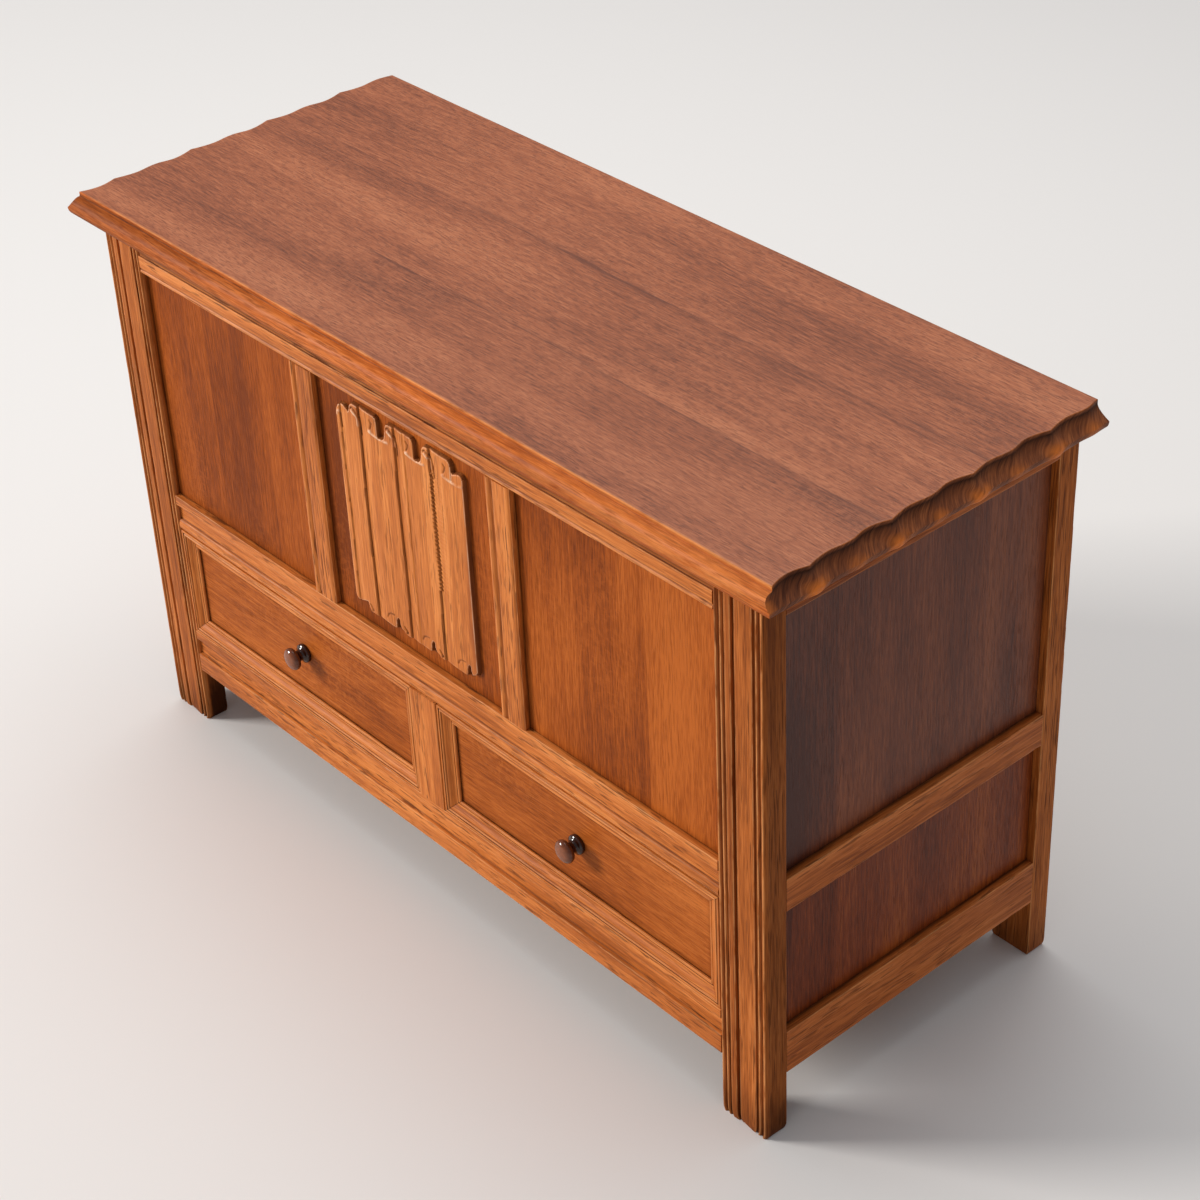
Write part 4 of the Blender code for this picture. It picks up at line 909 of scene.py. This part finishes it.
def lid_levels(thick):
    """The edge of the lid from the top down: drop, reach at the front, inset all round, wear."""
    levels = [(0, 0, 0.0035, 0), (0, 0, 0.0008, 0.9), (0.0002, 0, 0.00025, 1), (0.0008, 0, 0, 0.9)]
    levels += [(0.0018, 0, 0, 0.3), (LID_FILLET - 0.0008, 0, 0, 0.1), (LID_FILLET, 0.0001, 0, -0.45)]
    ledge = LID_FILLET + LID_LEDGE_FALL
    levels.append((ledge, LID_LEDGE, 0, 0.2))
    for step in range(1, 11):
        angle = pi / 2 * step / 10
        drop = ledge + (LID_NOSE_DROP - ledge) * (1 - cos(angle))
        reach = LID_LEDGE + (LID_NOSE - LID_LEDGE) * sin(angle)
        levels.append((drop, reach, 0, 0.05 if step < 7 else 0.3))
    for step in range(1, 7):
        angle = pi / 2 * step / 6
        drop = LID_NOSE_DROP + (thick - LID_NOSE_DROP) * sin(angle)
        levels.append((drop, LID_NOSE - LID_UNDERCUT * (1 - cos(angle)), 0, 0.2 - 0.12 * step))
    levels.append((thick, LID_NOSE - LID_UNDERCUT, 0.004, 0))
    return levels


def end_shade_and_wear(drop, full):
    """Down a carved end: painted shade under the top edge, brown in the hollows, rubbed and with painted
    light on the knuckles.
    """
    if drop < LID_FILLET - 0.001:
        return -0.1
    down = ramp(drop, LID_FILLET, LID_NOSE_DROP - LID_FILLET)
    return 1.5 * full**0.7 * down**1.5 - 0.75 * (1 - down) ** 3 - 0.15


def edge_shade(x):
    """The front edge of the lid is made darker towards the left and paler towards the right."""
    return ramp(x, *LID_EDGE_PALER) + ramp(x, *LID_EDGE_SHADE)


def lid_ring(level, top, back):
    """One level of the lid's edge: its points, the wear of each and how many of them lie on one end."""
    drop, reach, inset, wear = level
    z = top - drop
    tuck = LID_NOSE - reach if drop > LID_NOSE_DROP else 0
    front_y = LID_TOP_FRONT - reach + inset
    right, worn = [], []
    for from_back, cut_back in scallops(SCALLOP_STEPS):
        out = LID_TIP + end_reach(drop, tuck, from_back, cut_back) - inset
        y = back - max(from_back, inset + from_back / 2)
        right.append((out, max(y, front_y + LID_POINT_GAP), z))
        worn.append(end_shade_and_wear(drop, ridge(from_back)) if inset == 0 else wear * LID_CAP_WEAR)
    corner = right.pop()
    worn.pop()
    edge = [(corner[0] * (1 - 2 * i / LID_EDGE_STEPS), front_y, z) for i in range(LID_EDGE_STEPS + 1)]
    left = [(-x, y, z) for x, y, z in reversed(right)]
    edge_worn = [wear + edge_shade(point[0]) if inset == 0 else wear for point in edge]
    return right + edge + left, worn + edge_worn + worn[::-1], len(right)


def pocketed(mesh, *limits):
    """The mesh with a square pocket cut into it, a little wider than the given box."""
    bm = bmesh.new()
    bmesh.ops.create_cube(bm, size=1)
    for vertex in bm.verts:
        for index, (low, high) in enumerate(limits):
            vertex.co[index] = low - FIT if vertex.co[index] < 0 else high + FIT
    cutter = show("pocket", mesh_of(bm, "pocket"))
    board = show("pocketed", mesh)
    cut = board.modifiers.new("pocket", "BOOLEAN")
    cut.object = cutter
    result = bpy.data.meshes.new_from_object(board.evaluated_get(bpy.context.evaluated_depsgraph_get()))
    for made in (board, cutter):
        bpy.data.objects.remove(made)
    return result


def close_lid(bm, loop, on_end):
    """Closes the top or the underside of the lid by strips from end to end and a fan to the front edge."""
    right, edge, left = loop[:on_end], loop[on_end:-on_end], loop[-on_end:][::-1]
    for index in range(on_end - 1):
        bm.faces.new((right[index], right[index + 1], left[index + 1], left[index]))
    middle = len(edge) // 2
    for index in range(len(edge) - 1):
        bm.faces.new((right[-1] if index < middle else left[-1], edge[index], edge[index + 1]))
    bm.faces.new((right[-1], edge[middle], left[-1]))


def lid():
    _, y, z = box_of("lid_board")
    bm = new_form()
    loops = []
    for level in lid_levels(z[1] - z[0]):
        ring, worn, on_end = lid_ring(level, z[1], y[1])
        loops.append([add_point(bm, point, wear) for point, wear in zip(ring, worn)])
    count = len(loops[0])
    for number, face in enumerate(skin(bm, loops)):
        depth, index = divmod(number, count)
        if depth > 0 and index > 0:
            face.material_index = 2 if index <= on_end or index > count - on_end else 1
    close_lid(bm, loops[0], on_end)
    close_lid(bm, loops[-1], on_end)
    mesh = mesh_of(bm, "lid_before_pockets")
    for key in (("lid", "x"), ("lid_edge", "x"), ("lid_end", "y")):
        mesh.materials.append(LOOKS[key])
    for side in SIDES:
        leaf_x, leaf_y, _ = box_of(f"hinge_lid_leaf_{side}")
        pocket_y = (leaf_y[0], y[1] + POCKET_RUN_OUT)
        mesh = pocketed(mesh, leaf_x, pocket_y, (z[0] - POCKET_RUN_OUT, z[0] + HINGE_LEAF_THICK))
    mesh.name = "lid_oak_board"
    put_up(mesh, "lid_board", [], "lid", radians(50))


def half_head(bm, centre, turn, half, up):
    """Half a screw head, on one side of its slot."""
    rings = []
    levels = ((SCREW_RADIUS, -SCREW_SINK), (SCREW_RADIUS, 0), (SCREW_DOME * SCREW_RADIUS, SCREW_PROUD))
    for radius, rise in levels:
        start = asin(SCREW_SLOT / radius)
        angles = [start + (pi - 2 * start) * step / SCREW_STEPS for step in range(SCREW_STEPS + 1)]
        ring = [Vector((radius * cos(a), half * radius * sin(a), up * rise)) for a in angles]
        rings.append([bm.verts.new(centre + turn @ point) for point in ring])
    skin(bm, rings)
    bm.faces.new(rings[0])
    bm.faces.new(rings[-1])


def hinge_screws():
    """Three slotted screws to a leaf, all but flush with the face that shows when the lid is open."""
    faces = {"lid": (box_of("lid_board")[2][0], -1), "carcase": (box_of("back_top_rail")[2][1], 1)}
    for body, (level, up) in faces.items():
        for side in SIDES:
            node = f"hinge_{body}_leaf_{side}"
            x, y, _ = box_of(node)
            bm = bmesh.new()
            for index in (-1, 0, 1):
                centre = Vector(((x[0] + x[1]) / 2 + index * SCREW_SPACING, y[0] + SCREW_INSET, level))
                turn = Matrix.Rotation(1.1 * index + x[0] * 5 + up, 3, "Z")
                for half in (1, -1):
                    half_head(bm, centre, turn, half, up)
            put_up(mesh_of(bm, f"{node}_screws"), None, [LOOKS["screw"]], body)


# Linenfold carving

def cloth_outline():
    """The edge of the folded cloth, round from its lower left corner."""
    points = list(CLOTH_LOW_LEFT)
    for left in TAB_LEFTS:
        points += [(left + u, z) for u, z in TAB_FOOT]
    points += CLOTH_RIGHT
    for left in reversed(TAB_LEFTS):
        points += [(left + u, z) for u, z in TAB_TOP + (TAB_NOTCH if left != TAB_LEFTS[0] else ())]
    return [(x / 1000, z / 1000) for x, z in (*points, *CLOTH_TOP_LEFT)]


def cuts_and_rolls():
    """Gouged lines (below 0) and rolled hems (above 0): points, height and half width, in millimetres."""
    marks = []
    for left in TAB_LEFTS:
        unit = [
            ([(14, 562), (14, 569), (12, 572), (8, 573), (5, 575)], 1.1, 1.5),
            ([(16.5, 552), (16.2, 565), (14.5, 571), (10, 576), (5, 578.4), (2.6, 576.5)], -1.5, 1),
            ([(33, 575.5), (35.5, 573), (34.5, 569), (32.5, 565.5)], -1.2, 0.9),
            ([(31, 562.3), (36, 561), (45, 560.2), (55, 560.6), (60, 561.6)], 0.8, 1.3),
            ([(31.5, 562.4), (33, 563)], 0.8, 1.7),
            ([(2, 343), (5, 340), (7, 337.5), (5, 336.3)], -1.1, 0.9),
            ([(31, 342), (33, 346), (37, 348.6), (43, 349.6)], -1, 0.9),
            ([(60, 341), (63.5, 338.5), (62, 336)], -1, 0.9),
        ]
        marks += [([(left + u, z) for u, z in points], rise, wide) for points, rise, wide in unit]
    marks.append(([(-97.5, 563), (-97.2, 556), (-96.8, 548)], -1, 1))
    marks.append(([(-102, 561), (-101, 565), (-98, 566)], 0.8, 1.4))
    return marks


def stroke_distance(x, z, points):
    """Distance of each grid point from a line through the given points."""
    nearest = np.full(x.shape, 1e9)
    for (ax, az), (bx, bz) in zip(points, points[1:]):
        run_x, run_z = bx - ax, bz - az
        share = np.clip(((x - ax) * run_x + (z - az) * run_z) / (run_x**2 + run_z**2 + 1e-12), 0, 1)
        nearest = np.minimum(nearest, np.hypot(x - ax - share * run_x, z - az - share * run_z))
    return nearest


def inside(x, z, points):
    """Whether each grid point lies within a closed outline."""
    within = np.zeros(x.shape, bool)
    for (ax, az), (bx, bz) in zip(points, points[1:] + points[:1]):
        if az != bz:
            crosses = (az > z) != (bz > z)
            within ^= crosses & (x < (bx - ax) * (z - az) / (bz - az) + ax)
    return within


def fold_height(x, z):
    """Thickness of the cloth and its dark lines of painted shade: each fold swells and turns under; teeth
    nick one.
    """
    height = np.zeros(x.shape)
    groove = np.zeros(x.shape)
    toothed = (z > TEETH_FROM) & (z < TEETH_TO)
    teeth = np.where(toothed, TOOTH_DEPTH * (1 - (z / TOOTH_LENGTH) % 1), 0)
    for start, end, low in zip(FOLD_LINES, FOLD_LINES[1:], FOLD_LOWS):
        shift = -teeth if start == TOOTHED_FOLD else 0
        at = x - start - 0.0006 * np.sin(z * 38 + start * 90) + shift
        share = np.clip(at / (end - start), 0, 1)
        rise = np.sqrt(np.sin(np.pi / 2 * np.clip(at / FOLD_SWELL, 0, 1)))
        here = at >= 0
        height = np.where(here, low + (FOLD_TOP - low) * rise - 0.5 * share * (1 - share), height)
        groove = np.where(here, np.clip((FOLD_TOP - low) / 3 * np.exp(-at / FOLD_SHADOW), 0, 1), groove)
    return height, groove


def linenfold():
    """The carving on a fine grid of points; those close to the edge of the cloth are moved on to it."""
    outline = cloth_outline()
    x, z = np.meshgrid(np.arange(*CLOTH_X, CLOTH_STEP), np.arange(*CLOTH_Z, CLOTH_STEP), indexing="ij")
    away = np.where(inside(x, z, outline), 1, -1) * stroke_distance(x, z, outline + outline[:1])
    slope_x, slope_z = np.gradient(away, CLOTH_STEP)
    near = np.abs(away) < 0.55 * CLOTH_STEP
    x = np.where(near, x - away * slope_x, x)
    z = np.where(near, z - away * slope_z, z)
    away = np.where(near, 0, away)
    height, groove = fold_height(x, z)
    marked = np.zeros(x.shape)
    for points, rise, wide in cuts_and_rolls():
        marked += rise * np.exp(-((stroke_distance(x * 1000, z * 1000, points) / wide) ** 2))
    height += np.clip(marked, -2, 1.2)
    rim = np.clip(away / CLOTH_RIM, 0, 1)
    height = np.where(away >= 0, height - 0.9 * (1 - np.sqrt(1 - (1 - rim) ** 2)), CLOTH_SINK)
    # Wear: the rims pale as rubbed edges with painted highlights, gouged cuts dark and rolls pale as painted
    # shade and light, the start of each fold dark with painted shade, and the edge of the cloth dark with
    # polish and painted shade.
    wear = np.where(away >= 0, 1.3 * (1 - rim) + np.clip(marked, -1, 1) * 0.9 - groove, -1)
    wear = np.where(away == 0, -1, wear)
    panel_y = box_of("front_panel_centre")[1][0]
    y = panel_y - height / 1000
    bm = new_form()
    across, up = x.shape
    grid = []
    for i in range(across):
        grid.append([add_point(bm, (x[i, j], y[i, j], z[i, j]), wear[i, j]) for j in range(up)])
    for i in range(across - 1):
        for j in range(up - 1):
            cell = [(i, j), (i + 1, j), (i + 1, j + 1), (i, j + 1)]
            within = [away[at] >= 0 for at in cell]
            corners = [grid[a][b] for a, b in cell]
            if sum(within) == 1:
                first = within.index(True)
                inner, second, opposite, last = corners[first:] + corners[:first]
                bm.faces.new((inner, second, opposite))
                bm.faces.new((inner, opposite, last))
            elif any(within):
                bm.faces.new(corners)
    bmesh.ops.remove_doubles(bm, verts=bm.verts, dist=CLOTH_STEP / 8)
    bmesh.ops.delete(bm, geom=[vertex for vertex in bm.verts if not vertex.link_faces], context="VERTS")
    bmesh.ops.holes_fill(bm, edges=[edge for edge in bm.edges if edge.is_boundary], sides=0)
    look = LOOKS["carved", "z"]
    put_up(mesh_of(bm, "linenfold_oak"), "linenfold_carving", [look], sharp=radians(80))


# Drawers

def moulding_outline():
    """Across a drawer moulding, from its outer edge inwards, as (inward, depth)."""
    edge, groove, outer, slope, inner = MOULDING_STEPS
    low = MOULDING_OGEE_LOW
    return moulded(0, [
        (edge, flat()),
        (groove, flat(MOULDING_BEAD_SINK)),
        (outer, bead(MOULDING_BEAD_SINK, 5)),
        (slope, step_between(MOULDING_OGEE_TOP, low, 6)),
        (inner, [(share, low + sink) for share, sink in bead(MOULDING_BEAD_SINK, 5)]),
    ])


def drawer_mouldings(drawer, x, z):
    for edge in ("top", "bottom", "left", "right"):
        node = f"{drawer}_moulding_{edge}"
        mx, my, mz = box_of(node)
        upright = edge in SIDES
        low_side = edge in ("left", "bottom")
        start = (mx if upright else mz)[0 if low_side else 1]
        way = 1 if low_side else -1
        points = [(start + way * inward, my[0] + depth) for inward, depth in moulding_outline()]
        points += [(points[-1][0], my[1]), (start, my[1])]
        if not upright:
            points = [(depth, at) for at, depth in points]
        low, high = limits = z if upright else x

        def mitre(point, share):
            inward = way * ((point.x if upright else point.y) - start) + FIT
            return low + inward + (high - low - 2 * inward) * share

        run(node, points, "z" if upright else "x", limits, "moulding", drawer, MOULDING_WAVER,
            mitre)


# The face of the head rubbed pale, darkening to its rim as shade painted on a round head; dark behind it.
def knob_wear_and_shade(along, radius):
    if along > KNOB_FACE:
        return 1 - 0.7 * (radius / KNOB_RADIUS) ** 3
    return -0.7 if along < KNOB_NECK else 0


def drawer_knob(drawer):
    node = f"{drawer}_knob"
    x, y, z = box_of(node)
    centre = ((x[0] + x[1]) / 2, (z[0] + z[1]) / 2)
    seat = y[0] + KNOB_POINTS[0][0]
    bm = new_form()
    rings = []
    for along, radius in KNOB_POINTS:
        ring = []
        for step in range(KNOB_STEPS):
            angle = 2 * pi * step / KNOB_STEPS
            point = (centre[0] + radius * cos(angle), seat - along, centre[1] + radius * sin(angle))
            ring.append(add_point(bm, point, knob_wear_and_shade(along, radius)))
        rings.append(ring)
    skin(bm, rings)
    bmesh.ops.remove_doubles(bm, verts=bm.verts, dist=1e-7)
    put_up(mesh_of(bm, f"{node}_turned"), node, [LOOKS["knob"]], drawer, radians(60))


def drawer_front(drawer, x, z):
    """The board behind the mouldings, with its dovetail sockets; dark polish and painted shade gather where
    the mouldings end.
    """
    node = f"{drawer}_front"
    bm = bmesh.new()
    bm.from_mesh(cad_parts[node].data)
    rim = sum(MOULDING_STEPS)
    for way, (low, high) in (((1, 0, 0), x), ((0, 0, 1), z)):
        for inset in (rim, rim + POLISH_AND_SHADE_LINE, rim + POLISH_AND_SHADE_FADE):
            for at in (low + inset, high - inset):
                parts = [*bm.verts, *bm.edges, *bm.faces]
                bmesh.ops.bisect_plane(bm, geom=parts, plane_co=Vector(way) * at, plane_no=way)
    front = min(vertex.co.y for vertex in bm.verts)
    worn = bm.verts.layers.float.new("wear")
    for vertex in bm.verts:
        inset = min(vertex.co.x - x[0], x[1] - vertex.co.x, vertex.co.z - z[0], z[1] - vertex.co.z) - rim
        hidden = vertex.co.y > front + NEAR / 2 or inset < -NEAR
        faded = inset > POLISH_AND_SHADE_FADE - NEAR
        vertex[worn] = 0 if hidden or faded else -0.4 if inset > NEAR else -1
    mesh = mesh_of(bm, f"{node}_oak", turn=False)
    put_up(mesh, node, [LOOKS["drawer", "x"]], drawer, radians(20))


def drawers():
    for drawer in ("drawer_left", "drawer_right"):
        x, _, z = box_of(f"{drawer}_front")
        drawer_front(drawer, x, z)
        drawer_mouldings(drawer, x, z)
        drawer_knob(drawer)


# Solids that already have the right shape

def plain_nodes():
    """The solids that no piece stands for: bare oak, and iron at the hinges."""
    for node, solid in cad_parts.items():
        if node in MADE:
            continue
        grain = "y" if "runner" in node or "side" in node else "x"
        look = LOOKS["iron"] if node.startswith("hinge_") else LOOKS["inner", grain]
        for index in range(len(solid.data.materials)):
            solid.data.materials[index] = look


# Camera, light and floor

def camera():
    place = Matrix.Translation(CAMERA_PLACE)
    for angle, axis in ((CAMERA_TURN, "Z"), (pi / 2 - CAMERA_RISE, "X"), (CAMERA_ROLL, "Z")):
        place = place @ Matrix.Rotation(angle, 4, axis)
    made = show("camera", bpy.data.cameras.new("camera"))
    made.data.lens = CAMERA_LENS
    made.data.sensor_width = 36
    made.matrix_world = place
    bpy.context.scene.camera = made


def soft_light(name, spot, size, power, colour, target=(0, 0, 0.35)):
    lamp = bpy.data.lights.new(name, "AREA")
    lamp.size = size
    lamp.energy = power
    lamp.color = colour
    made = show(name, lamp)
    made.location = spot
    made.rotation_euler = (Vector(target) - Vector(spot)).to_track_quat("-Z", "Y").to_euler()


def room():
    world = bpy.data.worlds.new("pale_room")
    bpy.context.scene.world = world
    world.use_nodes = True
    sky = world.node_tree.nodes["Background"]
    sky.inputs["Color"].default_value = (0.93, 0.95, 1, 1)
    sky.inputs["Strength"].default_value = 0.36
    soft_light("window", (-8.3, -7.4, 4.3), 3.2, 1330, (1, 0.97, 0.93))
    soft_light("ceiling", (-0.6, 0.6, 3.4), 3, 62, (1, 0.99, 0.97))
    bm = bmesh.new()
    bmesh.ops.create_grid(bm, x_segments=2, y_segments=2, size=30)
    floor = show("floor", mesh_of(bm, "floor", turn=False))
    look, _, give = new_look("pale_floor")
    give("Base Color", (0.8, 0.78, 0.76, 1))
    give("Roughness", 0.75)
    floor.data.materials.append(look)
    bpy.context.scene.view_settings.view_transform = "Standard"


camera()
room()
front_legs()
back_legs()
front_rails()
muntins()
end_rails()
front_panels()
end_panels()
linenfold()
lid()
drawers()
hinge_screws()
plain_nodes()
